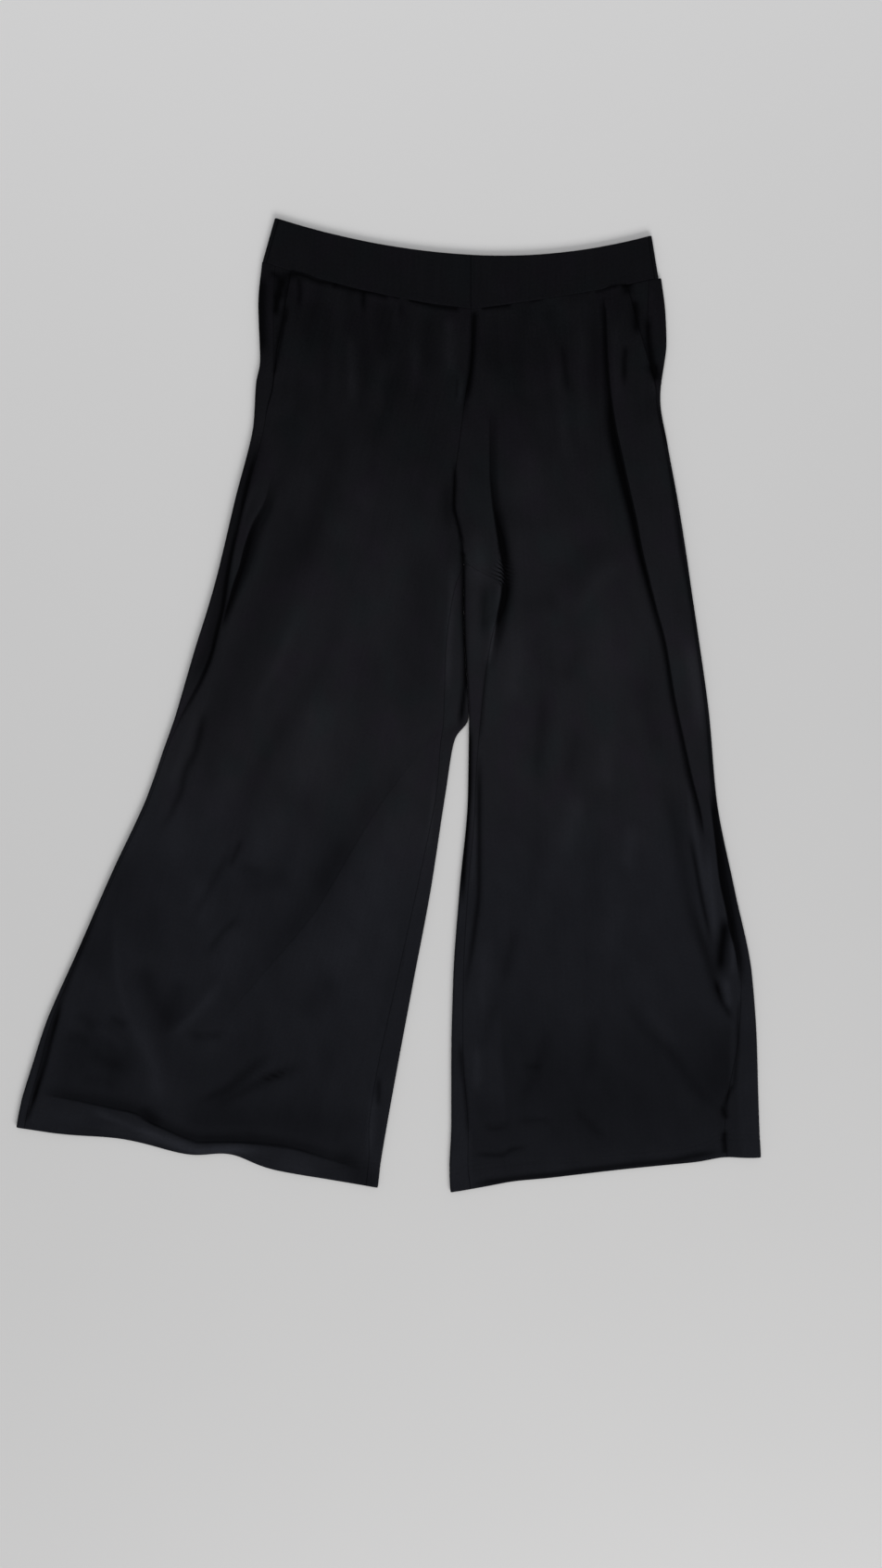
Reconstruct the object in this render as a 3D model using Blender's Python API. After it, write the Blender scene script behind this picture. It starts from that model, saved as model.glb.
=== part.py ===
"""Palazzo trousers in black jersey, laid flat with the front up.

The trousers lie on the plane z = 0, with the waist towards +Y and the hems towards -Y.
Right and left are the wearer's, so the right leg is the one at -X. Each leg is a flattened
tube: every section across it is a ring of cloth, and its seams cut that ring into panels.
The back panel is the wider one, so it folds over both edges of the leg and meets the front
panel on top. Sizes in the tables and constants are millimetres.
"""

import math
from collections import namedtuple

import bpy
import numpy as np

MM = 0.001
NEAR = 0.01  # a small step, for the slope of a surface

# Cloth
CLOTH = 1.2  # one layer of brushed jersey
HEM_CLOTH = 2.2  # the hem, turned up and stitched
BAND_CLOTH = 2.4  # the waistband, doubled over its elastic
SEAM_GAP = 0.3
REST_HEIGHT = 3.6  # the middle of the front layer, where nothing lifts or presses it
WAIST_DIP = 0.8  # how far the cloth sinks where the waistband's seam pulls it in
WAIST_DIP_REACH = 0.25  # in stretches between sections
EDGE_REACH = 32.0  # how far a rolled edge still lifts the cloth beside it
FOLD_FADE = 9.0  # folds die out over this distance at a rolled edge
PRESS = 0.35  # how softly the front layer comes to rest on the back one

# Pocket
POCKET_LIFT = 2.1  # the front panel rides this far over the pocket facing
POCKET_UNDERLAP = 15.0  # the facing's width behind the slanted pocket edge
POCKET_SLOPE = 14.0  # past the facing, the front panel comes down over this width
POCKET_GAPE = {"right": 3.0, "left": 4.5}  # how far the pocket's mouth stands open
MOUTH_WIDTH = 13.0
POCKET_FOOT = 3  # the section at which the slanted edge meets the side seam
POCKET_END = 3.5  # the section at which the facing ends, under the front panel
POCKET_CLOSES = 0.5  # below it, the front panel comes down over this many sections

# Waistband
BAND_ROLL = 1.7
BAND_TURN = BAND_ROLL * math.pi / 2
BAND_SEAM = 4.0  # its side seams show this far in from the folded side

# Columns of faces across a panel. The front: its outer edge, its middle and its inner edge.
# The back, from the inseam: the strip on top, the inner roll, the underside, the outer roll, the strip.
FRONT_COLUMNS = (2, 20, 4)
BACK_COLUMNS = (2, 4, 12, 5, 3)
FACING_COLUMNS = 8
EDGE_STRIP = 6.0
LEAST_COLUMN = 1.0
# In a front's middle there is a column for this much width, or for this much bend.
COLUMN_WIDTH = 34.0
COLUMN_BEND = math.radians(26)
COLUMN_DRIFT = 2  # and its place is a mean over this many rows each way, so it doesn't jump
FINE_SAMPLES = 320

CROTCH = 6  # the section at which the two legs part
CROTCH_LEAD = 0.5  # the front and back start to close on each other this much above it
CROTCH_EASE = 0.35  # the seams stand this much further apart where four of them meet
TOUCH_ENDS = 9  # below the crotch, the legs' edges lie side by side as far as this section

# One row for each section across a leg, from the waist seam to the hem.
# outer and inner: the leg's two edges, seen from above.
# side_seam, pocket_edge, inseam: how far in from the edge each line lies on top.
# outer_roll, inner_roll: the radius at which the cloth turns over the edge.
# bow: how far the middle of the section lies towards the hem.
Section = namedtuple(
    "Section",
    "outer_x outer_y inner_x inner_y side_seam pocket_edge inseam outer_roll inner_roll bow",
)
RIGHT_LEG = [
    Section(-137, 476, 88, 425, 14.5, 33, 0, 2.0, 2.0, 6),
    Section(-141, 430, 90, 390, 16.5, 29.5, 0, 2.5, 2.0, 4),
    Section(-139, 372, 89, 364, 14.5, 18, 0, 2.8, 2.0, 3),
    Section(-143.5, 345, 83, 332, 18.5, 19, 0, 2.6, 2.0, 2),
    Section(-146, 303, 76, 282, 12, 12, 0, 2.8, 2.0, 2),
    Section(-166, 220, 70, 225, 10.5, 10.5, 0, 3.2, 2.2, 2),
    Section(-185, 140, 80, 160, 12, 12, 0, 3.2, 2.6, 2),
    Section(-194.5, 106, 80.3, 124, 16, 16, 10, 3.1, 2.5, 2),
    Section(-209, 60, 81, 70, 19, 19, 19, 3.0, 2.4, 2),
    Section(-232, -18, 85.8, -12, 6.5, 6.5, 27, 2.8, 1.6, 2),
    Section(-242, -46, 71, -38, 4, 4, 15, 2.8, 2.2, 2),
    Section(-261, -100, 60, -102, 4, 4, 10, 2.6, 2.4, 2),
    Section(-298, -180, 45, -200, 4, 4, 15, 2.6, 2.4, 2),
    Section(-334, -262, 26.5, -298, 4, 4, 18, 2.5, 2.4, 1),
    Section(-370, -344, 8, -397, 5.5, 5.5, 21, 2.4, 2.4, 0),
    Section(-384, -387, -1, -447, 8.5, 8.5, 20, 2.4, 2.4, 0),
    Section(-397, -430, -9, -495, 9, 9, 13, 2.3, 2.3, 0),
    Section(-402, -456, -12, -521, 9, 9, 13, 2.2, 2.2, 0),
]
LEFT_LEG = [
    Section(293.5, 458.4, 88, 425, 14, 38, 0, 2.0, 2.0, 2),
    Section(298, 420, 90, 390, 19.5, 33, 0, 2.8, 2.0, 1),
    Section(299, 388, 89, 364, 20, 25, 0, 3.2, 2.0, 1),
    Section(292.3, 330, 83, 332, 4, 5, 0, 2.8, 2.0, 0),
    Section(300, 280, 76, 282, 4, 4, 0, 3.4, 2.0, 0),
    Section(311, 220, 70, 225, 4, 4, 0, 3.8, 2.2, 0),
    Section(321, 157, 80, 160, 4, 4, 0, 3.8, 2.6, 0),
    Section(326, 122, 80.3, 124, 4, 4, 41, 3.7, 2.6, 0),
    Section(333, 75, 81, 70, 4, 4, 29, 3.6, 2.6, 0),
    Section(345, -12, 86, -12, 4, 4, 13, 3.2, 2.6, 0),
    Section(353, -102, 85, -100, 4, 4, 8, 3.0, 2.4, 0),
    Section(372, -198, 76, -200, 7, 7, 9, 3.0, 2.4, 0),
    Section(391, -290, 69, -298, 12, 12, 11, 2.8, 2.4, 0),
    Section(396.5, -365, 67, -385, 21, 21, 13, 2.6, 2.4, 0),
    Section(398, -420, 67, -450, 33, 33, 18, 2.4, 2.3, -1),
    Section(399.5, -462, 65, -500, 38, 38, 20, 2.3, 2.2, -3),
    Section(401, -488.5, 66, -526, 37, 37, 22, 2.2, 2.2, -4),
]
# How many steps each stretch between two sections is cut into. The last stretch is the hem.
LEG_STEPS = {
    "right": (2, 2, 2, 2, 2, 4, 3, 2, 2, 3, 2, 3, 3, 3, 4, 5, 3),
    "left": (2, 2, 2, 2, 2, 4, 4, 2, 2, 2, 3, 4, 4, 3, 3, 2),
}

# Waves along the hem. at: share of the width from the outer edge; rise: towards the waist.
HemWave = namedtuple("HemWave", "at rise width")
HEM_WAVES = {
    "right": [HemWave(0.30, 6.5, 0.13), HemWave(0.59, 9.5, 0.075)],
    "left": [HemWave(0.12, 3, 0.06), HemWave(0.80, 1.5, 0.08)],
}
HEM_WAVE_REACH = 2.0  # in stretches between sections

# Creased folds. path: the line of the crease. crest: how high the cloth stands beside it.
# trough: how deep the crease is. steep and soft: the fold's width on its two sides.
# side: the side of the path, looking along it, on which the cloth stands up.
# starts, ends: the share of the path over which the fold grows and dies.
Fold = namedtuple("Fold", "path crest trough steep soft side starts ends")
LEFT_SIDE, RIGHT_SIDE = 1, -1
CREST_OFF = 1.5  # from the crease to the crest, in steep widths
TROUGH_WIDTH = 0.8  # the same for the trough's own width
FOLDS = {
    "outer_groove_right": Fold(
        [(-118, 300), (-138, 210), (-154, 150), (-174, 96), (-190, 50)],
        4.0, 2.2, 7, 17, RIGHT_SIDE, 0.35, 0.4,
    ),
    "crotch_groove": Fold(
        [(111, 320), (111, 284), (112, 228), (118, 180), (126, 131), (124, 100), (116, 54)],
        6.0, 2.4, 7, 20, RIGHT_SIDE, 0.45, 0.4,
    ),
    "long_groove_left": Fold(
        [(234, 470), (233, 389), (238, 320), (269, 182), (301, 46), (330, -90), (352, -200)],
        7.0, 2.6, 6, 24, LEFT_SIDE, 0.1, 0.35,
    ),
    "pinch_left": Fold(
        [(350, -150), (356, -200), (360, -245), (362, -300)],
        5.5, 3.0, 6, 11, LEFT_SIDE, 0.35, 0.4,
    ),
    "pinch_beside_left": Fold(
        [(306, -140), (323, -213), (344, -268), (366, -335)],
        2.5, 1.5, 7, 13, LEFT_SIDE, 0.4, 0.4,
    ),
    "hem_roll_right": Fold(
        [(-372, -416), (-300, -437), (-241, -460), (-179, -471), (-110, -478), (-40, -497)],
        3.6, 1.6, 11, 13, RIGHT_SIDE, 0.3, 0.3,
    ),
    "centre_front": Fold(
        [(88, 428), (90, 390), (86, 345), (80, 300)],
        1.2, 1.8, 6, 12, RIGHT_SIDE, 0.1, 0.4,
    ),
}

# Soft ridges, or hollows where rise is negative. width: from crest to foot.
Ridge = namedtuple("Ridge", "path rise width")
RIDGE_ENDS = 0.4  # the share of the path over which it grows and dies
RIDGES = {
    "drag_line_right": Ridge([(40, -60), (-34, -183), (-130, -300)], 2.6, 40),
    "thigh_hollow_right": Ridge([(-60, 310), (-90, 160), (-130, 40), (-175, -70)], -1.3, 38),
    "dimple_edge_right": Ridge([(-296, -270), (-282, -323), (-262, -358), (-247, -425)], 3.4, 15),
    "dimple_right": Ridge([(-262, -290), (-238, -325), (-222, -362)], -1.6, 26),
    "hip_gather_right": Ridge([(-40, 420), (-42, 370), (-52, 310)], 1.5, 14),
    "knee_swell_left": Ridge([(190, 60), (200, -60), (190, -200)], 1.6, 60),
    "hip_gather_left": Ridge([(176, 420), (178, 370), (182, 310)], 1.4, 14),
    "shin_crease_left": Ridge([(244, -306), (295, -370), (355, -444)], -1.3, 16),
    "inner_roll_left": Ridge([(112, -160), (103, -215), (92, -275)], 1.8, 11),
}

# The waistband's corners: its top edge and its seam, at the right side, centre and left side.
BAND_TOP = {"right": (-123, 524), "centre": (88, 484), "left": (283, 505)}
BAND_FOOT = {"right": (-136.5, 476.3), "centre": (88, 425.3), "left": (290.5, 458.3)}
BAND_TOP_BOW = {"right": 7, "left": 8}
BAND_FOOT_BOW = {"right": 6, "left": 2}
BAND_STEPS = 3
BAND_COLUMNS = 12
BAND_TURN_COLUMNS = 6

Finish = namedtuple("Finish", "colour roughness")
JERSEY = Finish((0.012, 0.012, 0.014, 1.0), 0.85)
BAND_JERSEY = Finish((0.010, 0.010, 0.012, 1.0), 0.8)
FACING_JERSEY = Finish((0.009, 0.009, 0.011, 1.0), 0.9)
SHARP_ANGLE = math.radians(50)


def smooth_rows(rows, at):
    """A table's columns at fractional row numbers, on a curve that never overshoots a row."""
    table = np.array(rows, float)
    step = np.diff(table, axis=0)
    slope = np.zeros_like(table)
    before, after = step[:-1], step[1:]
    same_way = before * after > 0
    total = np.where(same_way, before + after, 1.0)
    slope[1:-1] = np.where(same_way, 2 * before * after / total, 0.0)
    slope[0], slope[-1] = step[0], step[-1]
    row = np.clip(np.floor(at).astype(int), 0, len(table) - 2)
    s = (at - row)[:, None]
    start, end = table[row], table[row + 1]
    return (
        start * (1 + 2 * s) * (1 - s) ** 2
        + slope[row] * s * (1 - s) ** 2
        + end * s**2 * (3 - 2 * s)
        + slope[row + 1] * s**2 * (s - 1)
    )


def ease(s):
    """0 below 0 and 1 above 1, with a smooth step between."""
    s = np.clip(s, 0, 1)
    return s * s * (3 - 2 * s)


def smooth_path(points, steps=8):
    """Points along a smooth curve through the given ones."""
    at = np.linspace(0, len(points) - 1, steps * (len(points) - 1) + 1)
    return smooth_rows(points, at)


def off_path(x, y, points):
    """How far each place lies from a path, positive to its left, and its share of the way along."""
    line = smooth_path(points)
    along = np.concatenate([[0], np.cumsum(np.hypot(*np.diff(line, axis=0).T))])
    best = np.full(x.shape, np.inf)
    side = np.zeros(x.shape)
    share = np.zeros(x.shape)
    for start, end, done, total in zip(line[:-1], line[1:], along[:-1], along[1:]):
        run = end - start
        length = math.hypot(*run)
        s = np.clip(((x - start[0]) * run[0] + (y - start[1]) * run[1]) / length**2, 0, 1)
        away = np.hypot(x - start[0] - s * run[0], y - start[1] - s * run[1])
        turn = run[0] * (y - start[1]) - run[1] * (x - start[0])
        nearer = away < best
        best = np.where(nearer, away, best)
        side = np.where(nearer, np.sign(turn), side)
        share = np.where(nearer, (done + s * (total - done)) / along[-1], share)
    return best * np.where(side == 0, 1, side), share


def bump(s):
    """1 at 0, falling away smoothly on both sides."""
    return np.exp(-(s**2))


def fold_height(x, y, fold):
    """The relief of one creased fold: a trough along its path and a crest beside it."""
    away, share = off_path(x, y, fold.path)
    past_crest = away * fold.side - CREST_OFF * fold.steep
    crest = fold.crest * bump(past_crest / np.where(past_crest > 0, fold.soft, fold.steep))
    trough = fold.trough * bump(away / (TROUGH_WIDTH * fold.steep))
    return (crest - trough) * ease(share / fold.starts) * ease((1 - share) / fold.ends)


def ridge_height(x, y, ridge):
    away, share = off_path(x, y, ridge.path)
    fade = ease(share / RIDGE_ENDS) * ease((1 - share) / RIDGE_ENDS)
    return ridge.rise * bump(away / ridge.width) * fade


def relief(x, y):
    """How far the folds lift or press the front layer."""
    folds = sum(fold_height(x, y, fold) for fold in FOLDS.values())
    return folds + sum(ridge_height(x, y, ridge) for ridge in RIDGES.values())


def rows_of(side):
    """Section numbers down a leg, each stretch cut into its count of equal steps."""
    counts = LEG_STEPS[side]
    cuts = [row + i / count for row, count in enumerate(counts) for i in range(count)]
    return np.array(cuts + [len(counts)], float)


def touching(inner_x, inner_y):
    """The right leg's inner edge, along the left leg's one wherever the two lie side by side."""
    edge = Section(*smooth_rows(LEFT_LEG, np.linspace(CROTCH, TOUCH_ENDS, 60)).T)
    beside = np.interp(-inner_y, -edge.inner_y, edge.inner_x)
    touches = (inner_y < edge.inner_y[0]) & (inner_y > edge.inner_y[-1])
    return np.where(touches, beside, inner_x)


class Leg:
    """A leg's rings at the given sections. Every value is a column, one row for each section."""

    def __init__(self, side, at):
        self.side = side
        self.at = at[:, None]
        rows = RIGHT_LEG if side == "right" else LEFT_LEG
        s = Section(*smooth_rows(rows, at).T[:, :, None])
        if side == "right":
            s = s._replace(inner_x=touching(s.inner_x, s.inner_y))
        self.section = s
        self.across = np.hypot(s.inner_x - s.outer_x, s.inner_y - s.outer_y)
        self.closed = ease((self.at - CROTCH + CROTCH_LEAD) / CROTCH_LEAD)
        reach = np.sin(self.closed * math.pi / 2)
        self.first = CLOTH / 2
        self.last = self.across + (1 - reach) * s.inner_roll - reach * (CLOTH + SEAM_GAP) / 2
        self.outer_turn = s.outer_roll * math.pi / 2
        self.inner_turn = s.inner_roll * math.pi / 2
        flat = self.last - self.first - s.outer_roll - s.inner_roll
        self.half_round = self.outer_turn + flat + self.inner_turn
        self.to_end = len(rows) - 1 - self.at
        self.hemmed = ease(1 + LEG_STEPS[side][-2] * (1 - self.to_end))

    def round_edge(self, inset, roll, turn):
        """The distance round the ring, from an edge's outermost line, to a line that far in on top."""
        over = roll + CLOTH / 2
        return turn * np.minimum(inset / over, 1) + np.maximum(inset - over, 0)

    def side_seam(self):
        s = self.section
        return self.round_edge(s.side_seam, s.outer_roll, self.outer_turn)

    def pocket_edge(self):
        s = self.section
        return self.round_edge(s.pocket_edge, s.outer_roll, self.outer_turn)

    def inner_ends(self):
        """Where the front panel ends and the back panel starts, at the leg's inner edge."""
        s = self.section
        inseam = self.round_edge(s.inseam, s.inner_roll, self.inner_turn)
        apart = self.inner_turn * (1 - self.closed)
        top = self.half_round - apart - inseam
        under = self.half_round + apart - inseam
        gap = SEAM_GAP / 2 + CROTCH_EASE * bump((self.at - CROTCH) / CROTCH_LEAD)
        return top - gap, under + gap

    def plan(self, across):
        """Places seen from above, at distances across the section from its outer edge."""
        s = self.section
        share = across / self.across
        waves = sum(
            wave.rise * bump((share - wave.at) / wave.width)
            for wave in HEM_WAVES[self.side]
        )
        up = waves * ease(1 - self.to_end / HEM_WAVE_REACH) - s.bow * 4 * share * (1 - share)
        x = s.outer_x + share * (s.inner_x - s.outer_x)
        y = s.outer_y + share * (s.inner_y - s.outer_y) + up
        return x, y

    def top_height(self, x, y, across):
        """The height of the front layer's middle."""
        s = self.section
        from_outer = across - self.first - s.outer_roll
        from_inner = self.last - s.inner_roll - across
        outer_lift = CLOTH / 2 + 2 * s.outer_roll - REST_HEIGHT
        inner_lift = CLOTH / 2 + 2 * s.inner_roll - REST_HEIGHT
        edges = outer_lift * (1 - ease(from_outer / EDGE_REACH))
        edges = edges + self.closed * inner_lift * (1 - ease(from_inner / EDGE_REACH))
        free = ease(from_outer / FOLD_FADE)
        free = free * (1 - self.closed * (1 - ease(from_inner / FOLD_FADE)))
        dip = WAIST_DIP * bump(self.at / WAIST_DIP_REACH)
        height = REST_HEIGHT + edges + free * (relief(x, y) - dip)
        lowest = 1.5 * CLOTH + SEAM_GAP + self.hemmed * 2 * (HEM_CLOTH - CLOTH)
        return lowest + PRESS * np.logaddexp(0, (height - lowest) / PRESS)

    def ring(self, round_at, lift=0.0):
        """Points of the cloth's middle, at distances round the ring from the outer edge."""
        s = self.section
        half = self.half_round
        r = np.mod(round_at, 2 * half)
        under = r > half
        mirrored = np.where(under, 2 * half - r, r)
        outer_angle = np.clip(mirrored / s.outer_roll, 0, math.pi / 2)
        inner_angle = np.clip((half - mirrored) / s.inner_roll, 0, math.pi / 2)
        in_outer = mirrored < self.outer_turn
        in_inner = mirrored > half - self.inner_turn
        across = self.first + s.outer_roll + mirrored - self.outer_turn
        across = np.where(in_outer, self.first + s.outer_roll * (1 - np.cos(outer_angle)), across)
        across = np.where(in_inner, self.last - s.inner_roll * (1 - np.cos(inner_angle)), across)
        x, y = self.plan(across)
        roll = np.where(in_outer, s.outer_roll, s.inner_roll)
        angle = np.where(in_outer, outer_angle, inner_angle)
        turned = CLOTH / 2 + roll * (1 + np.where(under, -1, 1) * np.sin(angle))
        level = np.where(under, CLOTH / 2, self.top_height(x, y, across) + lift)
        z = np.where(in_outer | in_inner, turned + np.where(under, 0, lift), level)
        return np.stack([x, y, z], axis=-1)


def columns_by_bend(leg, start, end, count):
    """Distances round each ring, closer together where the cloth bends."""
    share = np.linspace(0, 1, FINE_SAMPLES)[None, :]
    step = np.diff(leg.ring(start + share * (end - start)), axis=1)
    run = np.linalg.norm(step, axis=-1)
    way = step / run[..., None]
    bend = np.arccos(np.clip((way[:, 1:] * way[:, :-1]).sum(-1), -1, 1))
    none = np.zeros((len(run), 1))
    weight = np.cumsum(run / COLUMN_WIDTH + np.hstack([none, bend]) / COLUMN_BEND, axis=1)
    weight = np.hstack([none, weight])
    wanted = np.linspace(0, 1, count + 1)
    shares = np.array([np.interp(wanted * w[-1], w, share[0]) for w in weight])
    padded = np.pad(shares, ((COLUMN_DRIFT, COLUMN_DRIFT), (0, 0)), mode="edge")
    shares = np.mean([padded[i : i + len(shares)] for i in range(2 * COLUMN_DRIFT + 1)], axis=0)
    return start + shares * (end - start)


def front_columns(leg):
    """Distances round the ring, from the pocket's edge or the side seam to the inseam."""
    start, end = leg.pocket_edge() + SEAM_GAP / 2, leg.inner_ends()[0]
    outer, inner = start + EDGE_STRIP, end - EDGE_STRIP
    outer_count, middle_count, inner_count = FRONT_COLUMNS
    at_outer = start + np.linspace(0, 1, outer_count + 1) * (outer - start)
    middle = columns_by_bend(leg, outer, inner, middle_count)
    at_inner = inner + np.linspace(0, 1, inner_count + 1) * (end - inner)
    return np.hstack([at_outer, middle[:, 1:-1], at_inner])


def back_columns(leg):
    """Distances round the ring, from the inseam or the centre back under the leg to the side seam."""
    half, inner, outer = leg.half_round, leg.inner_turn, leg.outer_turn
    stations = [leg.inner_ends()[1], half - inner, half + inner, 2 * half - outer, 2 * half + outer]
    stations.append(2 * half + leg.side_seam() - SEAM_GAP / 2)
    for i, count in enumerate(BACK_COLUMNS[:2]):
        stations[i + 1] = np.maximum(stations[i + 1], stations[i] + count * LEAST_COLUMN)
    for i, count in reversed(list(enumerate(BACK_COLUMNS))[3:]):
        stations[i] = np.minimum(stations[i], stations[i + 1] - count * LEAST_COLUMN)
    runs = [
        start + np.arange(count) / count * (end - start)
        for start, end, count in zip(stations, stations[1:], BACK_COLUMNS)
    ]
    return np.hstack([*runs, stations[-1]])


def pocket_lift(leg, round_at):
    """How far the front panel rides up over the pocket facing and gapes along the pocket's edge."""
    past_edge = round_at - leg.pocket_edge()
    inwards = 1 - ease((past_edge - POCKET_UNDERLAP) / POCKET_SLOPE)
    down = 1 - ease((leg.at - POCKET_END) / POCKET_CLOSES)
    mouth = np.sin(np.clip(leg.at / POCKET_FOOT, 0, 1) * math.pi)
    mouth = mouth * bump(past_edge / MOUTH_WIDTH)
    return POCKET_LIFT * inwards * down + POCKET_GAPE[leg.side] * mouth


def normals_out(place, at, round_at, turn):
    """Unit normals out of a tube whose surface is place(at, round_at). turn is -1 if it runs leftwards."""
    along = place(at + NEAR, round_at) - place(at - NEAR, round_at)
    across = place(at, round_at + NEAR) - place(at, round_at - NEAR)
    normal = turn * np.cross(along, across)
    return normal / np.linalg.norm(normal, axis=-1, keepdims=True)


def wall(points, normal, outside, inside):
    """A closed wall round a grid of points: its vertices and faces. outside and inside are offsets."""
    outer = points + outside * normal
    inner = points - inside * normal
    rows, columns = points.shape[:2]
    vertices = np.concatenate([outer.reshape(-1, 3), inner.reshape(-1, 3)])
    index = np.arange(rows * columns).reshape(rows, columns)
    under = index + rows * columns
    faces = []
    for i in range(rows - 1):
        for j in range(columns - 1):
            corners = ((i, j), (i + 1, j), (i + 1, j + 1), (i, j + 1))
            faces.append([index[corner] for corner in corners])
            faces.append([under[corner] for corner in reversed(corners)])
    for j in range(columns - 1):
        faces.append((index[0, j], index[0, j + 1], under[0, j + 1], under[0, j]))
        faces.append((under[-1, j], under[-1, j + 1], index[-1, j + 1], index[-1, j]))
    # Both panels at a seam split their edge along the same diagonal, or their twisted edges would touch.
    for i in range(rows - 1):
        faces.append((under[i, 0], under[i + 1, 0], index[i, 0]))
        faces.append((index[i, 0], under[i + 1, 0], index[i + 1, 0]))
        faces.append((under[i + 1, -1], under[i, -1], index[i, -1]))
        faces.append((under[i + 1, -1], index[i, -1], index[i + 1, -1]))
    return vertices, faces


def faces_out(vertices, faces):
    """The faces, turned round if they point inwards."""
    volume = 0.0
    for face in faces:
        for b, c in zip(face[1:], face[2:]):
            volume += np.dot(vertices[face[0]], np.cross(vertices[b], vertices[c]))
    return faces if volume > 0 else [face[::-1] for face in faces]


def panel(side, at, round_at, lift=None):
    """A stretch of a leg's wall, thicker on its inside where the hem is turned up."""

    def place(at, round_at):
        leg = Leg(side, at)
        return leg.ring(round_at, lift(leg, round_at) if lift else 0.0)

    turn = 1 if side == "right" else -1
    inside = CLOTH / 2 + Leg(side, at).hemmed[..., None] * (HEM_CLOTH - CLOTH)
    return wall(place(at, round_at), normals_out(place, at, round_at, turn), CLOTH / 2, inside)


def front_panel(side):
    at = rows_of(side)
    return panel(side, at, front_columns(Leg(side, at)), pocket_lift)


def back_panel(side):
    at = rows_of(side)
    return panel(side, at, back_columns(Leg(side, at)))


def pocket_facing(side):
    at = rows_of(side)
    at = at[at <= POCKET_END]
    leg = Leg(side, at)
    start = leg.side_seam() + SEAM_GAP / 2
    end = leg.pocket_edge() + POCKET_UNDERLAP
    share = np.linspace(0, 1, FACING_COLUMNS + 1)[None, :]
    return panel(side, at, start + share * (end - start))


def band_line(half, down, share):
    """Places along one half of the waistband, from its side to its centre."""
    top_bow, foot_bow = BAND_TOP_BOW[half], BAND_FOOT_BOW[half]
    ends = []
    for corner in (half, "centre"):
        top, foot = np.array(BAND_TOP[corner]), np.array(BAND_FOOT[corner])
        ends.append(top + down[..., None] * (foot - top))
    line = ends[0] + share[..., None] * (ends[1] - ends[0])
    bow = top_bow + down * (foot_bow - top_bow)
    line[..., 1] -= 4 * bow * share * (1 - share)
    return line


def band_width(half, down):
    ends = band_line(half, down, np.array([0.0, 1.0])[None, :] + 0 * down)
    return np.hypot(*(ends[:, 1] - ends[:, 0]).T)[:, None]


def band_ring(half, down, round_at):
    """Points of one half of the waistband's middle. round_at: from the side fold, negative below."""
    down = down[:, None]
    angle = np.clip(np.abs(round_at) / BAND_ROLL, 0, math.pi / 2)
    flat = np.maximum(np.abs(round_at) - BAND_TURN, 0)
    across = BAND_CLOTH / 2 + BAND_ROLL * (1 - np.cos(angle)) + flat
    line = band_line(half, down + 0 * round_at, across / band_width(half, down))
    z = BAND_CLOTH / 2 + BAND_ROLL * (1 + np.sign(round_at) * np.sin(angle))
    return np.concatenate([line, z[..., None]], axis=-1)


def band_reach(half, down):
    """The distance round the ring from the side fold to the centre."""
    return band_width(half, down[:, None]) - BAND_CLOTH / 2 - BAND_ROLL + BAND_TURN


def band_normals(half, down, round_at):
    turn = 1 if half == "right" else -1
    return normals_out(lambda at, r: band_ring(half, at, r), down, round_at, turn)


def band_front(half):
    down = np.linspace(0, 1, BAND_STEPS + 1)
    start = BAND_SEAM + SEAM_GAP
    end = band_reach(half, down) - SEAM_GAP / 2
    round_at = start + np.linspace(0, 1, BAND_COLUMNS + 1)[None, :] * (end - start)
    normal = band_normals(half, down, round_at)
    return wall(band_ring(half, down, round_at), normal, BAND_CLOTH / 2, BAND_CLOTH / 2)


def band_back():
    down = np.linspace(0, 1, BAND_STEPS + 1)
    turn = np.linspace(BAND_TURN, -BAND_TURN, BAND_TURN_COLUMNS + 1)
    over_side = np.concatenate([[BAND_SEAM], turn])[None, :]
    below = np.linspace(0, 1, BAND_COLUMNS + 1)[None, 1:]
    points, normals = [], []
    for half in ("right", "left"):
        under = over_side[:, -1:] - below * (band_reach(half, down) - BAND_TURN)
        round_at = np.concatenate([over_side + 0 * down[:, None], under], axis=1)
        points.append(band_ring(half, down, round_at))
        normals.append(band_normals(half, down, round_at))
    whole = [np.concatenate([right, left[:, -2::-1]], axis=1) for right, left in (points, normals)]
    return wall(*whole, BAND_CLOTH / 2, BAND_CLOTH / 2)


def cloth_material(name, finish):
    made = bpy.data.materials.new(name)
    made.use_nodes = True
    shader = made.node_tree.nodes["Principled BSDF"]
    shader.inputs["Base Color"].default_value = finish.colour
    shader.inputs["Roughness"].default_value = finish.roughness
    shader.inputs["Metallic"].default_value = 0.0
    return made


def add_piece(name, shape, finish, origin, parent):
    """Links one piece as an object whose own origin is the middle of its underside."""
    vertices, faces = shape
    low, high = vertices.min(axis=0), vertices.max(axis=0)
    place = np.array([(low[0] + high[0]) / 2, (low[1] + high[1]) / 2, low[2]])
    mesh = bpy.data.meshes.new(name)
    mesh.from_pydata(((vertices - place) * MM).tolist(), [], faces_out(vertices - place, faces))
    mesh.shade_smooth()
    mesh.set_sharp_from_angle(angle=SHARP_ANGLE)
    mesh.materials.append(cloth_material(f"{name}_cloth", finish))
    piece = bpy.data.objects.new(name, mesh)
    bpy.context.scene.collection.objects.link(piece)
    piece.parent = parent
    piece.location = ((place - origin) * MM).tolist()


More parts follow.
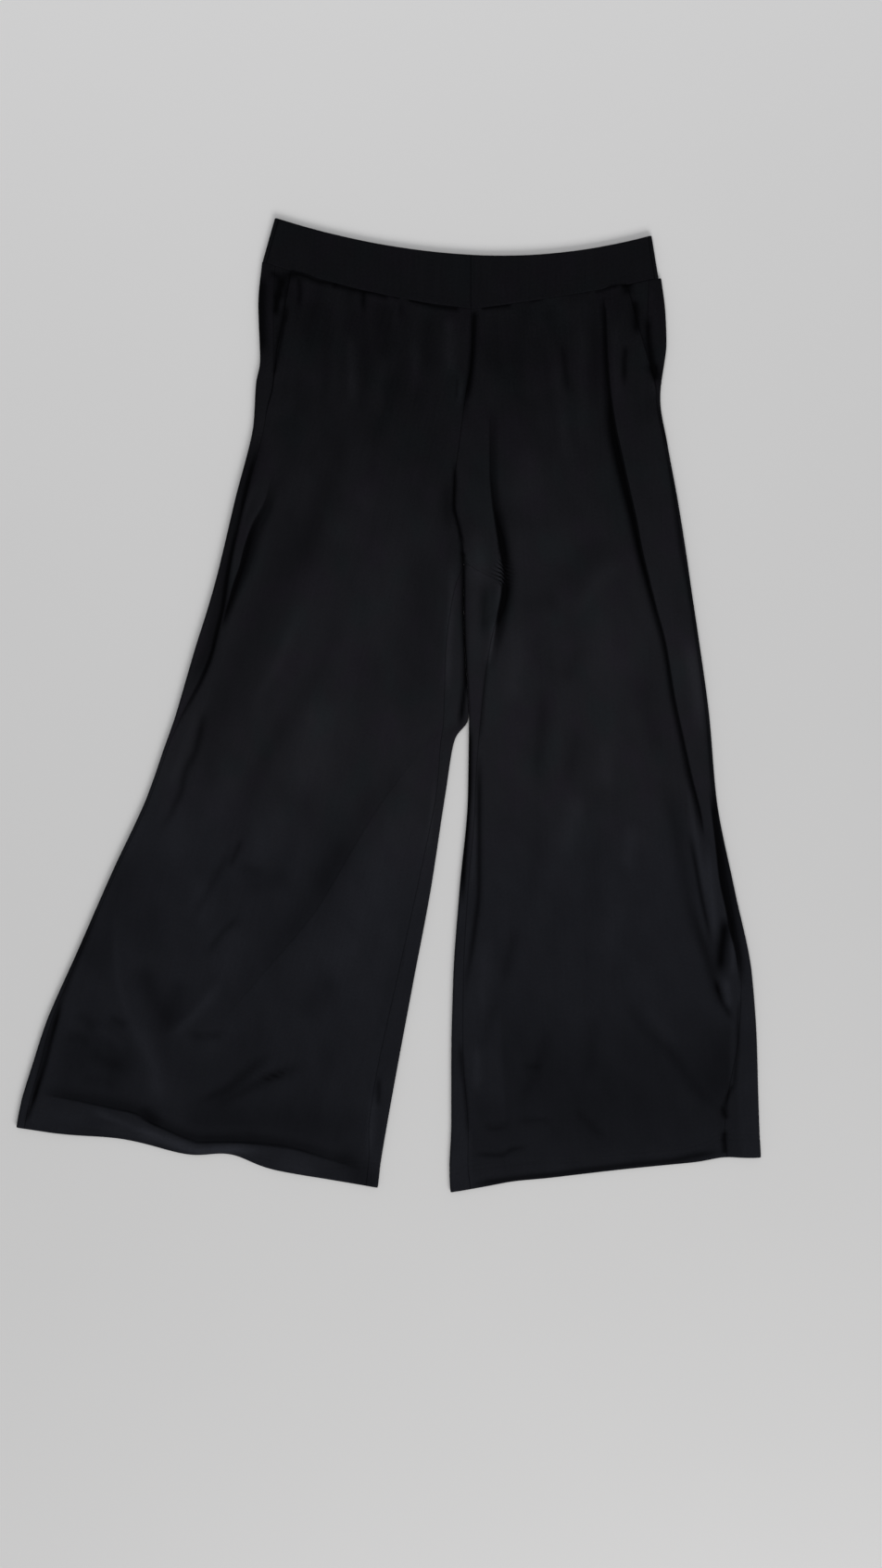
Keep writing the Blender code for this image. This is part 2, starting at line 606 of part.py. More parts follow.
def main():
    for old in list(bpy.data.objects):
        bpy.data.objects.remove(old)
    shapes = {
        "waistband_back": (band_back(), BAND_JERSEY),
        "waistband_front_right": (band_front("right"), BAND_JERSEY),
        "waistband_front_left": (band_front("left"), BAND_JERSEY),
    }
    for side in ("right", "left"):
        shapes[f"front_{side}"] = (front_panel(side), JERSEY)
        shapes[f"back_{side}"] = (back_panel(side), JERSEY)
        shapes[f"pocket_facing_{side}"] = (pocket_facing(side), FACING_JERSEY)
    low = np.min([shape[0].min(axis=0) for shape, _ in shapes.values()], axis=0)
    high = np.max([shape[0].max(axis=0) for shape, _ in shapes.values()], axis=0)
    origin = np.array([(low[0] + high[0]) / 2, (low[1] + high[1]) / 2, 0.0])
    trousers = bpy.data.objects.new("palazzo_trousers", None)
    bpy.context.scene.collection.objects.link(trousers)
    for name, (shape, finish) in shapes.items():
        add_piece(name, shape, finish, origin, trousers)


main()
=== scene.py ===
"""Palazzo trousers in black jersey, laid flat with the front up and seen from straight above.

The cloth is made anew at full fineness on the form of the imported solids: each leg is a
flattened tube whose rings are cut into panels by its seams. Right and left are the wearer's,
so the right leg is the one at -X. The cloth's sizes are in millimetres, and those of the
materials and the studio in metres.
"""

import math
from collections import namedtuple

import bpy
import numpy as np
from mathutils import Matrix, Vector


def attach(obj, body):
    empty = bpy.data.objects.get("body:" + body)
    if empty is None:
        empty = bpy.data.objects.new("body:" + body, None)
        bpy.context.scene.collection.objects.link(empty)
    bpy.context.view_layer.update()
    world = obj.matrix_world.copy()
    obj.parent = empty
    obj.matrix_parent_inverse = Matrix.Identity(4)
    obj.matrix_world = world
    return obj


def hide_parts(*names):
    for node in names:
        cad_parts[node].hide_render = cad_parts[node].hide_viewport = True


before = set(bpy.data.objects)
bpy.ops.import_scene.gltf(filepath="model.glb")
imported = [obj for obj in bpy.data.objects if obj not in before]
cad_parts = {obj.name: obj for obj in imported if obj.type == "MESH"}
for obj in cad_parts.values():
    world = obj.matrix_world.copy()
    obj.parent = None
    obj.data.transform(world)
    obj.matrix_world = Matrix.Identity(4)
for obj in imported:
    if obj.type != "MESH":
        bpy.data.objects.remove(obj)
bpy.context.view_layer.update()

MM = 0.001
BODY = "root"
# The middle of the trousers' outline, in the tables' own measure.
TABLE_MIDDLE = np.array([-0.5, -0.98, 0.0])

# Cloth
SURFACE_OFF = 0.6  # from the middle of the solid's wall to its outer side
CLOTH = 0.9  # one layer of jersey
HEM_CLOTH = 1.8  # the hem, turned up and stitched
BAND_CLOTH = 2.4  # the waistband, doubled over its elastic
SEAM_GAP = -0.06  # under 0, so that the round edges of sewn pieces press into each other
WAIST_TUCK = 0.015  # the legs' top edges reach this far up into the waistband's foot, in sections
LEG_GAP = 0.05  # from the line where the two legs touch
REST_HEIGHT = 3.6  # the middle of the front layer, where nothing lifts or presses it
LOWEST = 1.55  # the middle of the front layer where it is pressed on the back one
HEM_RISE = 1.6  # a turned-up hem keeps the front layer this much higher
HEM_GROWS = 1 / 3  # the hem's thickness comes in over this share of the last section
EDGE_REACH = 32.0  # how far a rolled edge still lifts the cloth beside it
ROLL_PAINTED_SHADE = 0.3  # painted shade: how much darker the cloth's colour is made where it turns under
FOLD_FADE = 9.0  # folds die out over this distance at a rolled edge
PRESS = 0.35  # how softly the front layer comes to rest on the back one
UNDER_FADE = 16.0  # wrinkles on the underside die out over this distance at an edge

# Fineness of the mesh
STEP = 4.3  # between rows of points along the leg
HEM_ZONE = 48.0  # the rows are closer at the hem
HEM_STEP = 1.4
BORDER = (0.0, 0.07, 0.22, 0.45, 0.9, 1.6, 2.6, 4.0)  # rows and columns at a panel's edge
FRONT_COLUMNS = 150
FOLD_COLUMNS = 5.0  # how much closer the columns are at a fold than elsewhere
FOLD_BREADTH = 9.0
FOLD_ASIDE = 1.8  # the columns are closest this far out over the groove
CREASE_COLUMNS = 1.6
NARROW = 4.6  # only creases narrower than this draw the columns together
COLUMN_DRIFT = 7  # and their places are means over this many rows each way
COLUMN_SAMPLES = 240
ROW_SAMPLES = 1600
EDGE_SAMPLES = 60
COLUMN_REACH = 36.0  # how far from a fold its pull on the columns is worked out
BUMP_REACH = 3  # and how many widths away a crease's or a fold's form is
ROLL_COLUMNS = 14
STRIP_COLUMNS = 8
UNDER_COLUMNS = 84
FACING_COLUMNS = 16
LEAST_COLUMN = 0.35

# Pocket
POCKET_LIFT = 2.1  # of the front panel over the facing
POCKET_UNDERLAP = 15.0  # how far the facing reaches under the front panel
POCKET_SLOPE = 14.0  # beyond that the front panel comes down again over this distance
POCKET_GAPE = {"right": 3.0, "left": 4.5}  # how far the pocket's edge stands open halfway down
MOUTH_WIDTH = 13.0  # how far in from the edge the gape reaches
POCKET_FOOT = 3  # the section where the pocket's edge meets the side seam
POCKET_END = 3.5  # the facing ends here, in sections
POCKET_CLOSES = 0.5  # above that the front panel comes down over this stretch

# Waistband
BAND_ROLL = 1.7  # the radius at which the band turns under at the sides
BAND_TURN = BAND_ROLL * math.pi / 2
BAND_SEAM = 4.0  # the side seam lies this far in on top
BAND_ROWS = 22
BAND_COLUMNS = 70
BAND_TURN_COLUMNS = 14
BAND_SEAM_BORDER = BORDER[:5]  # as much of a border as the strip beside the side seam holds
# Ripples that the elastic draws into the band: how high, how long, and how they wander.
FINE_RIPPLE, FINE_RIPPLE_RUN, RIPPLE_WANDER, RIPPLE_WANDER_RUN = 0.16, 2.3, 1.3, 17
BROAD_RIPPLE, BROAD_RIPPLE_RUN, BROAD_RIPPLE_SLANT = 0.22, 9.1, 2
RIPPLE_FULLNESS = 0.7  # the lower, the closer to the band's long edges its ripples reach
RIPPLE_GROWS = 12  # from the side fold

# Sections of a leg, counted from the waist seam
CROTCH = 6
CROTCH_LEAD = 0.5
TOUCH_ENDS = 9  # below the crotch, the legs' edges touch as far as this section
STITCHED = 2  # the hem's stitches lie in the last two

# One row for each section across a leg, from the waist seam to the hem, as in the solids.
# outer and inner: the leg's two edges. side_seam, pocket_edge, inseam: how far in from the
# edge each line lies on top. bow: how far the middle of the section lies towards the hem.
Section = namedtuple(
    "Section",
    "outer_x outer_y inner_x inner_y side_seam pocket_edge inseam outer_roll inner_roll bow",
)
LEGS = {
    "right": [
        (-137, 476, 88, 425, 14.5, 33, 0, 2.0, 2.0, 6),
        (-141, 430, 90, 390, 16.5, 29.5, 0, 2.5, 2.0, 4),
        (-139, 372, 89, 364, 14.5, 18, 0, 2.8, 2.0, 3),
        (-143.5, 345, 83, 332, 18.5, 19, 0, 2.6, 2.0, 2),
        (-146, 303, 76, 282, 12, 12, 0, 2.8, 2.0, 2),
        (-166, 220, 70, 225, 10.5, 10.5, 0, 3.2, 2.2, 2),
        (-185, 140, 80, 160, 12, 12, 0, 3.2, 2.6, 2),
        (-194.5, 106, 80.3, 124, 16, 16, 10, 3.1, 2.5, 2),
        (-209, 60, 81, 70, 19, 19, 19, 3.0, 2.4, 2),
        (-232, -18, 85.8, -12, 6.5, 6.5, 27, 2.8, 1.6, 2),
        (-242, -46, 71, -38, 4, 4, 15, 2.8, 2.2, 2),
        (-261, -100, 60, -102, 4, 4, 10, 2.6, 2.4, 2),
        (-298, -180, 45, -200, 4, 4, 15, 2.6, 2.4, 2),
        (-334, -262, 26.5, -298, 4, 4, 18, 2.5, 2.4, 1),
        (-370, -344, 8, -397, 5.5, 5.5, 21, 2.4, 2.4, 0),
        (-384, -387, -1, -447, 8.5, 8.5, 20, 2.4, 2.4, 0),
        (-397, -430, -9, -495, 9, 9, 13, 2.3, 2.3, 0),
        (-402, -456, -12, -521, 9, 9, 13, 2.2, 2.2, 0),
    ],
    "left": [
        (293.5, 458.4, 88, 425, 14, 38, 0, 2.0, 2.0, 2),
        (298, 420, 90, 390, 19.5, 33, 0, 2.8, 2.0, 1),
        (299, 388, 89, 364, 20, 25, 0, 3.2, 2.0, 1),
        (292.3, 330, 83, 332, 4, 5, 0, 2.8, 2.0, 0),
        (300, 280, 76, 282, 4, 4, 0, 3.4, 2.0, 0),
        (311, 220, 70, 225, 4, 4, 0, 3.8, 2.2, 0),
        (321, 157, 80, 160, 4, 4, 0, 3.8, 2.6, 0),
        (326, 122, 80.3, 124, 4, 4, 41, 3.7, 2.6, 0),
        (333, 75, 81, 70, 4, 4, 29, 3.6, 2.6, 0),
        (345, -12, 86, -12, 4, 4, 13, 3.2, 2.6, 0),
        (353, -102, 85, -100, 4, 4, 8, 3.0, 2.4, 0),
        (372, -198, 76, -200, 7, 7, 9, 3.0, 2.4, 0),
        (391, -290, 69, -298, 12, 12, 11, 2.8, 2.4, 0),
        (396.5, -365, 67, -385, 21, 21, 13, 2.6, 2.4, 0),
        (398, -420, 67, -450, 33, 33, 18, 2.4, 2.3, -1),
        (399.5, -462, 65, -500, 38, 38, 20, 2.3, 2.2, -3),
        (401, -488.5, 66, -526, 37, 37, 22, 2.2, 2.2, -4),
    ],
}
# How far the leg leans from straight down, which is also the way its knit runs, in degrees.
GRAIN = {"right": -14.0, "left": 4.0}

# Waves along the hem. at: share of the width from the outer edge. rise: towards the waist.
HemWave = namedtuple("HemWave", "at rise width")
HEM_WAVES = {
    "right": [HemWave(0.30, 6.5, 0.13), HemWave(0.59, 9.5, 0.075)],
    "left": [HemWave(0.12, 3, 0.06), HemWave(0.80, 1.5, 0.08)],
}
HEM_WAVE_REACH = 2.0

# Folds of the front. Each place on the path, which is the fold's sharp lip, has x, y, how high
# the crest stands, how wide the groove under the lip is, and how much painted shade darkens
# the cloth's colour in the groove. soft: how wide the crest is. side: where the crest is, looking along the
# path.
Fold = namedtuple("Fold", "path soft side")
LEFT_SIDE, RIGHT_SIDE = 1, -1
LIP_FOOT = 2.4  # the lip rises from this far out over the groove
LIP_RUN = 3.0
FULL_CREST = 2.5  # a fold this high has the whole groove
GROOVE = 2.4
SHOULDER = 0.3  # the groove's other side, as a share of the crest
SHOULDER_OFF = 3.0
SHOULDER_WIDTH = 6.0
LEAN = 0.2  # of a crest over its groove, as a share of its height
LIP_SHADE = 1.0  # the groove's painted shade starts this far in on the lip
LIP_SHADE_RUN = 1.6
SHADE_BREADTH = 0.2  # the groove's painted shade is even over this share of its width
SHADE_FADE = 0.7
PALEST, DARKEST = -0.9, 1  # the limits of the shade and highlight painted by all folds and creases together
FOLDS = [
    Fold(  # outer groove of the right leg
        [
            (-127, 248, 0, 9, 0), (-134, 220, 2.2, 10, 0.55), (-148, 194, 3.2, 12, 0.85),
            (-156.5, 170, 3.4, 13, 1), (-162, 148, 3.2, 11, 1), (-167.5, 132, 2.6, 9.5, 1),
            (-172.5, 114, 2, 7, 0.9), (-177, 96, 1, 5, 0.6), (-181, 80, 0, 3, 0),
        ],
        8, RIGHT_SIDE,
    ),
    Fold(  # beside the crotch: the left leg's inseam lies on this lip
        [
            (108.5, 326, 0, 7, 0), (107.5, 288, 1.2, 8, 0.45), (107.5, 252, 2.2, 8.5, 0.65),
            (109.5, 221, 3.6, 9, 0.85), (112.5, 197, 4.6, 12, 1.1), (116, 174, 5.2, 12, 1.6),
            (119.5, 151, 5.6, 11, 1.8), (120, 128, 5.6, 11, 1.8), (117.7, 110, 5, 12, 1.5),
            (115, 92, 3.6, 11, 1.1), (113, 73, 2, 9, 0.7), (110, 54, 0.8, 7, 0.3), (108, 34, 0, 5, 0),
        ],
        13, RIGHT_SIDE,
    ),
    Fold(  # the long groove of the left leg
        [
            (231, 442, 0, 5, 0), (234.5, 420, 3.2, 6, 0.7), (236.5, 379, 5, 6.5, 0.8),
            (240, 336, 6, 8, 0.88), (245, 302, 6.6, 11, 1.3), (252, 269, 6.8, 11, 1.6),
            (259.5, 235, 6.8, 10, 1.6), (267, 202, 6.8, 9, 1.5), (273.5, 168, 6.8, 8, 1.4),
            (281.5, 134, 6.5, 7, 1.2), (290, 101, 6.2, 6.5, 0.94), (299, 67, 6, 6, 0.9),
            (309, 7, 5.8, 6, 0.85), (319, -40, 5.2, 6, 0.85), (327.6, -80, 4.4, 6.5, 0.9),
            (331.6, -96, 3.4, 6, 0.9), (337, -120, 1.8, 6, 0.75), (340, -144, 0, 4, 0),
        ],
        24, LEFT_SIDE,
    ),
    Fold(  # the pinch at the left shin
        [
            (344, -90, 0, 8, 0), (347, -120, 2, 13, 0.95), (350, -150, 3.2, 16, 1),
            (354, -188, 3.8, 18, 1), (360, -216, 3.8, 16, 1), (366.5, -246, 3.2, 12, 1),
            (373, -273, 2, 9, 0.9), (378, -306, 0, 5, 0),
        ],
        9, RIGHT_SIDE,
    ),
    Fold(  # along the right hem
        [
            (-376, -420, 0, 12, 0), (-356, -424, 0.5, 14, 0.4), (-328, -430, 0.8, 16, 0.5),
            (-296, -437, 1, 17, 0.5), (-274, -442, 1.2, 16, 0.5), (-260, -451, 1.4, 15, 0.5),
            (-240, -460, 1.5, 14, 0.48), (-220, -468.5, 1.6, 14, 0.46), (-202, -473.5, 1.7, 14, 0.48),
            (-174, -473, 1.7, 15, 0.5), (-141, -475, 1.6, 15, 0.5), (-108, -479, 1.4, 15, 0.46),
            (-75, -488, 1, 15, 0.4), (-48, -496, 0.4, 13, 0.25), (-30, -502, 0, 12, 0),
        ],
        8, RIGHT_SIDE,
    ),
    Fold(  # the flare of the right leg, from the crotch towards the hem
        [
            (56, -32, 0, 14, 0), (42, -43, 0.2, 16, 0.04), (10, -83, 0.3, 24, 0.08),
            (-18, -123, 0.4, 28, 0.1), (-59, -192, 0.4, 30, 0.13), (-76, -220, 0.4, 28, 0.13),
            (-108, -260, 0.4, 26, 0.12), (-132, -287, 0.3, 22, 0.1), (-162, -322, 0.2, 18, 0.05),
            (-184, -346, 0, 16, 0),
        ],
        24, LEFT_SIDE,
    ),
]

# Creases of the front. depth: downwards, so a negative one stands up. The value after it is painted shade,
# how much darker the cloth's colour is made in the crease, and painted highlight, lighter, where it is
# negative. starts, ends: the share of the path over which the crease grows and dies.
Crease = namedtuple("Crease", "path width depth dark starts ends", defaults=(0.3, 0.3))
CREASES = [Crease(*row) for row in (
    # centre front
    ([(92, 426), (91, 397), (90, 380), (88, 357), (85, 338), (82, 322), (82, 302)],
      3.8, 1.6, 1, 0.05, 0.35),
    ([(77, 364), (76, 340), (76, 316)], 4.5, -1.1, -0.3, 0.35, 0.35),
    ([(74, 356), (73, 342), (72, 326)], 2.2, 0.7, 0.45),
    ([(64, 420), (65, 390), (67, 350)], 7, -0.9, -0.5, 0.15),
    ([(64, 254), (62, 215), (66, 180)], 7, 0.8, 0.4, 0.4, 0.4),
    ([(70, 266), (71, 240), (70, 213), (74, 196), (78, 177), (79, 158)], 2.6, 0.3, 0.85, 0.2, 0.02),
    # crotch
    ([(96, 164), (95, 100), (93, 36)], 9, 0, -0.16, 0.2, 0.2),
    ([(79, 164), (80, 140), (80, 105), (81, 71), (82, 46), (82, 25), (80, 4), (76, -28)],
      3.2, 0.2, 1, 0.02, 0.1),
    ([(69, 170), (67, 120), (64, 60), (62, 6)], 4.5, -1.3, -0.5, 0.3, 0.25),
    ([(98, 200), (97, 160), (96, 120)], 13, -0.5, -0.42, 0.35, 0.35),
    ([(116, 162), (119, 146), (119, 126), (116, 96)], 2.6, -0.4, -0.5),
    ([(114, 96), (111, 70), (107, 40)], 4, -0.9, -0.5, 0.3, 0.35),
    ([(102, 136), (102, 100), (100, 66)], 5, 0.5, 0.5, 0.35, 0.35),
    ([(108, 60), (103, 20), (99, -23), (96, -50)], 2.2, 0.3, 0.45),
    ([(87, -20), (87, -80), (85, -120), (80, -190), (79, -225)], 3, 0.4, 1, 0.1, 0.2),
    ([(97, -40), (97, -100), (97, -190), (91, -250), (83, -300), (78, -336)], 3.4, 0.8, 0.72, 0.2),
    ([(92, -70), (92, -140), (88, -210)], 2.6, -0.5, -0.3),
    ([(106, -240), (102, -280), (99, -340)], 8, -1.4, -0.3),
    ([(50, -72), (45, -125), (39, -172)], 3, -0.5, -0.25),
    # right pocket and hip
    ([(-115, 461), (-117, 445), (-120, 431)], 6.5, 0.8, 1.1, 0.1, 0.4),
    ([(-119, 446), (-121, 432), (-123, 416)], 3.6, 0.8, 1.1),
    ([(-132, 463), (-114, 462), (-94, 459)], 3.4, 0.3, 0.8, 0.2),
    ([(-97, 460), (-96, 442), (-98, 422)], 3.2, 0.9, 0.65, 0.1, 0.5),
    ([(-114, 454), (-115, 438), (-118, 422)], 2.6, -0.3, -0.4),
    ([(-110, 431), (-111, 418), (-113, 408)], 3.2, 0.2, 0.7, 0.25, 0.35),
    ([(-111, 418), (-114, 404), (-117, 387), (-121, 368), (-124, 352)], 2.2, 0.2, 0.75, 0.15, 0.15),
    ([(-137, 462), (-137, 415), (-136, 368)], 6, 0, 0.85, 0.12, 0.25),
    ([(-136, 304), (-141, 278), (-148, 253), (-154, 229), (-160, 200), (-168, 167), (-175, 131),
      (-179, 104), (-186, 75), (-191, 54), (-200, 30), (-214, 3), (-228, -22), (-236, -41)],
      2.6, 0.3, 0.62, 0.2, 0.15),
    ([(-140, 298), (-146, 270), (-158, 225), (-170, 170), (-180, 120), (-190, 78), (-204, 38), (-226, -6)],
      10, 0, 0.55, 0.15, 0.2),
    ([(-198, 2), (-205, -36), (-209, -51), (-219, -70), (-225, -95), (-231, -107), (-236, -119),
      (-244, -131), (-252, -148)], 4.4, 1, 0.45, 0.2),
    ([(-192, 22), (-215, -30), (-228, -66), (-246, -104)], 6, -0.8, -0.2, 0.3, 0.35),
    ([(-141, 244), (-158, 200), (-166, 160), (-172, 120)], 3.2, -0.6, -0.35),
    # left pocket and hip
    ([(248, 450), (256, 453), (265, 455)], 3.4, 0.5, 0.95),
    ([(256, 456), (256, 448), (255, 438)], 6, 0.6, 0.8, 0.05, 0.4),
    ([(264, 438), (266, 414), (266, 394)], 4.2, 0.4, 1, 0.2, 0.25),
    ([(256, 389), (254, 370), (254, 340)], 3.2, 0.9, 0.75, 0.2, 0.35),
    ([(278, 422), (279, 396), (282, 376), (285, 358), (289, 342)], 4.4, 0.4, 0.95, 0.2),
    ([(282, 368), (285, 356), (289, 344)], 8, 0.2, 0.7),
    ([(275, 364), (283, 346), (291, 328)], 2.6, -0.9, -0.3),
    ([(292, 324), (296, 300), (301, 272)], 3.4, 0.2, 0.95, 0.2),
    ([(296, 290), (303, 252), (314, 170), (324, 118), (333, 61), (340, 8), (347, -66), (354, -128)],
      3.2, 0, 0.62, 0.1, 0.1),
    ([(247, 424), (244, 380), (248, 320)], 4.5, -0.6, -0.3),
    ([(272, 430), (273, 380), (275, 320)], 6, -0.6, -0.2),
    # under the waist seam
    ([(-2, 442), (5, 440), (13, 437)], 2.4, 0.2, 0.95, 0.2, 0.2),
    ([(18, 436), (34, 432), (54, 428), (78, 425)], 2.4, 0.2, 0.95, 0.1, 0.1),
    ([(97, 426), (115, 428), (134, 430)], 2.4, 0.2, 0.9, 0.15, 0.15),
    ([(149, 434), (159, 436), (168, 438)], 2.4, 0.2, 0.8, 0.2, 0.2),
    ([(-116, 468), (-96, 462), (-78, 456), (-52, 451)], 2.6, 0.2, 0.9, 0.35, 0.2),
    ([(-64, 452), (-50, 449), (-28, 445), (2, 438)], 3, 0, 0.9, 0.1, 0.1),
    ([(168, 439), (195, 441), (220, 444)], 2, 0, 0.4, 0.1, 0.1),
    ([(220, 443), (236, 447), (248, 450)], 2.2, 0, 0.6, 0.15, 0.2),
    ([(-84, 442), (-86, 410), (-84, 364)], 14, 0.5, 0.3, 0.2, 0.5),
    ([(-4, 436), (-8, 410), (-12, 364)], 20, 0.5, 0.26, 0.15, 0.45),
    ([(42, 426), (42, 390), (40, 350)], 9, 0.6, 0.22, 0.2, 0.5),
    ([(128, 424), (130, 390), (132, 336)], 24, 0.5, 0.2, 0.2, 0.45),
    ([(-28, 445), (-28, 436), (-28, 422)], 3, 0.9, 0.6, 0.2, 0.5),
    ([(12, 436), (12, 426), (12, 414)], 2.8, 0.9, 0.3, 0.2, 0.5),
    ([(-41, 404), (-41, 368), (-40, 320)], 5.5, -1.2, -0.5, 0.25),
    ([(-66, 430), (-68, 370), (-70, 320)], 6, 0.8, 0.25, 0.3, 0.4),
    ([(-8, 384), (-9, 346), (-14, 300)], 6, -0.8, -0.22, 0.3, 0.4),
    ([(-24, 410), (-26, 360), (-32, 310)], 6, 0.8, 0.24, 0.3, 0.4),
    ([(28, 404), (28, 370), (24, 324)], 5.5, -0.8, -0.3, 0.3, 0.4),
    ([(172, 422), (177, 370), (182, 330), (192, 256)], 6.5, -1.1, -0.36, 0.2),
    ([(186, 394), (190, 360), (195, 328)], 3.6, 0.9, 0.55, 0.3, 0.4),
    ([(204, 410), (208, 340), (214, 260)], 8, -0.6, -0.2, 0.3, 0.4),
    ([(152, 425), (150, 380), (152, 330)], 5, -0.7, -0.15, 0.2, 0.5),
    ([(220, 430), (220, 360), (226, 290)], 8, 0.6, 0.2, 0.2, 0.4),
    # right thigh
    ([(10, 384), (-2, 330), (-22, 270)], 9, 1, 0.24, 0.3, 0.35),
    ([(-44, 330), (-58, 270), (-74, 215), (-102, 120)], 13, 0.8, 0.24, 0.2),
    ([(-10, 260), (-36, 215), (-68, 156)], 17, -1.1, -0.16, 0.35, 0.35),
    ([(-82, 240), (-114, 150), (-140, 85), (-170, 20), (-198, -40), (-216, -86)],
      27, 0.7, 0.36, 0.25, 0.25),
    ([(-90, 120), (-117, 54), (-152, -8)], 7, -0.9, -0.2),
    ([(-46, 132), (-72, 48), (-102, -6), (-128, -46), (-154, -106), (-164, -170)],
      12, 0.8, 0.2, 0.25, 0.25),
    ([(-198, -40), (-193, -66), (-192, -96)], 10, 0.6, 0.14, 0.35, 0.35),
    ([(26, 220), (-6, 130), (-40, 30)], 20, -1.1, -0.12, 0.35, 0.35),
    ([(48, 200), (36, 90), (26, 0), (0, -46)], 22, 0.5, 0.2),
    ([(-20, 70), (-26, 20), (-28, -16)], 16, 0.4, 0.14, 0.35, 0.35),
    ([(-70, 16), (-82, -40), (-90, -110)], 26, -0.8, -0.26, 0.25),
    ([(-94, 360), (-100, 290), (-120, 220)], 12, 0.5, 0.12, 0.3, 0.35),
    ([(-158, -60), (-180, -100), (-198, -140)], 12, -0.8, -0.14, 0.35, 0.35),
    # right shin
    ([(-220, -90), (-230, -130), (-216, -180)], 18, -0.8, -0.16, 0.35, 0.35),
    ([(-120, -100), (-130, -140), (-158, -160)], 15, -0.8, -0.14, 0.35, 0.35),
    ([(-157, -140), (-164, -158), (-174, -178)], 3.4, 0.7, 0.4),
    ([(-164, -145), (-190, -190), (-220, -246)], 5, 0.8, 0.26, 0.3, 0.35),
    ([(-157, -225), (-180, -245), (-201, -276)], 4.5, 0.8, 0.3, 0.3, 0.35),
    ([(-44, -136), (-62, -175), (-82, -214)], 16, 0.5, 0.16, 0.3, 0.35),
    ([(-98, -180), (-130, -188), (-166, -198)], 14, 0.7, 0.2, 0.3, 0.35),
    ([(-164, -170), (-148, -178), (-130, -180)], 6, 0.5, 0.18, 0.3, 0.35),
    ([(-180, -230), (-168, -260), (-184, -300)], 13, -0.8, -0.18, 0.35, 0.35),
    ([(-208, -180), (-200, -210), (-214, -240)], 13, -0.8, -0.16, 0.35, 0.35),
    ([(-54, -288), (-76, -312), (-102, -338)], 15, 0.7, 0.2, 0.3, 0.35),
    ([(28, -90), (-8, -190), (-44, -270), (-90, -350)], 36, -0.8, -0.18, 0.2),
    ([(18, -62), (-24, -122), (-66, -188), (-104, -240), (-144, -288)], 20, 0.3, 0.17, 0.25),
    ([(-270, -140), (-292, -200), (-316, -270), (-328, -310)], 24, 0.5, 0.26, 0.25),
    ([(-248, -200), (-260, -240), (-262, -280)], 16, 0.6, 0.16, 0.35, 0.35),
    ([(-274, -276), (-258, -304), (-242, -340), (-236, -362)], 13, 1.3, 0.34, 0.25, 0.2),
    ([(-224, -290), (-230, -316), (-236, -350)], 12, 0.8, 0.26),
    ([(-242, -360), (-220, -342), (-201, -322), (-174, -288)], 6.5, -1.4, -0.3, 0.25, 0.35),
    ([(-293, -210), (-296, -250), (-294, -287), (-279, -339), (-266, -368)], 4.5, -1.2, -0.16, 0.35),
    ([(-280, -332), (-265, -362), (-254, -392), (-246, -436)], 10, -1.7, -0.42, 0.3, 0.25),
    ([(-364, -380), (-320, -376), (-270, -406)], 30, 0.4, 0.28, 0.2),
    ([(-303, -334), (-292, -341), (-280, -349)], 4.5, 0.8, 0.32),
    ([(-340, -332), (-328, -338), (-316, -352)], 5, 0.7, 0.22),
    ([(-354, -360), (-336, -358), (-322, -370)], 6, 0.6, 0.18),
    ([(-324, -368), (-304, -386), (-280, -390)], 7, 0.6, 0.18),
    ([(-322, -348), (-300, -356), (-284, -374)], 4.5, -0.6, -0.16),
    ([(-336, -408), (-316, -403), (-290, -414)], 7, 0.5, 0.14),
    ([(-222, -352), (-200, -357), (-174, -354)], 4, 0.7, 0.26),
    ([(-126, -374), (-152, -395), (-180, -416), (-212, -430)], 6, 1, 0.36, 0.25),
    ([(-86, -384), (-130, -402), (-168, -420), (-196, -442)], 6, 0.9, 0.34, 0.25),
    ([(-120, -380), (-148, -404), (-184, -430)], 4, -0.5, -0.14),
    ([(-138, -405), (-124, -401), (-110, -397)], 2.8, 0.6, 0.4),
    ([(-158, -330), (-184, -360), (-206, -390)], 12, -0.8, -0.12),
    ([(-230, -444), (-150, -446), (-70, -454), (-26, -464)], 21, 0.3, 0.32, 0.15, 0.15),
    ([(-350, -315), (-362, -356), (-372, -394), (-384, -430), (-393, -454)], 2.8, 0.3, 0.7, 0.2, 0.1),
    ([(-308, -210), (-340, -285), (-370, -370), (-386, -440)], 3.4, 0, 0.5, 0.25, 0.1),
    # right hem
    ([(-310, -390), (-200, -392), (-60, -416)], 42, 0, 0.12, 0.05, 0.05),
    ([(-280, -453), (-254, -464), (-230, -473), (-200, -481), (-170, -479), (-128, -481)],
      5, -0.8, -1, 0.2),
    ([(-324, -435), (-294, -448), (-260, -462)], 4, -0.3, -0.4, 0.25),
    ([(-270, -432), (-258, -443), (-242, -452)], 8, 0.6, 0.3, 0.35, 0.35),
    ([(-320, -456), (-280, -462), (-244, -476)], 4.5, 0, -0.2),
    ([(-130, -492), (-100, -498), (-70, -506)], 7, -0.3, -0.2),
    ([(-58, -476), (-36, -498), (-16, -522)], 15, 0.4, 0.34, 0.3, 0.1),
    ([(-16, -410), (-19, -446), (-23, -490)], 4.5, -1, -0.42),
    ([(-11, -398), (-11, -418), (-12, -436)], 3, 0.3, 0.55),
    ([(-380, -440), (-350, -444), (-310, -450)], 7, 0, -0.12),
    # left thigh
    ([(176, 290), (182, 200), (186, 120)], 34, 0, -0.08),
    ([(152, 282), (148, 250), (152, 212)], 19, -0.8, -0.2, 0.35, 0.35),
    ([(146, 200), (136, 170), (132, 140)], 15, -0.6, -0.16, 0.35, 0.35),
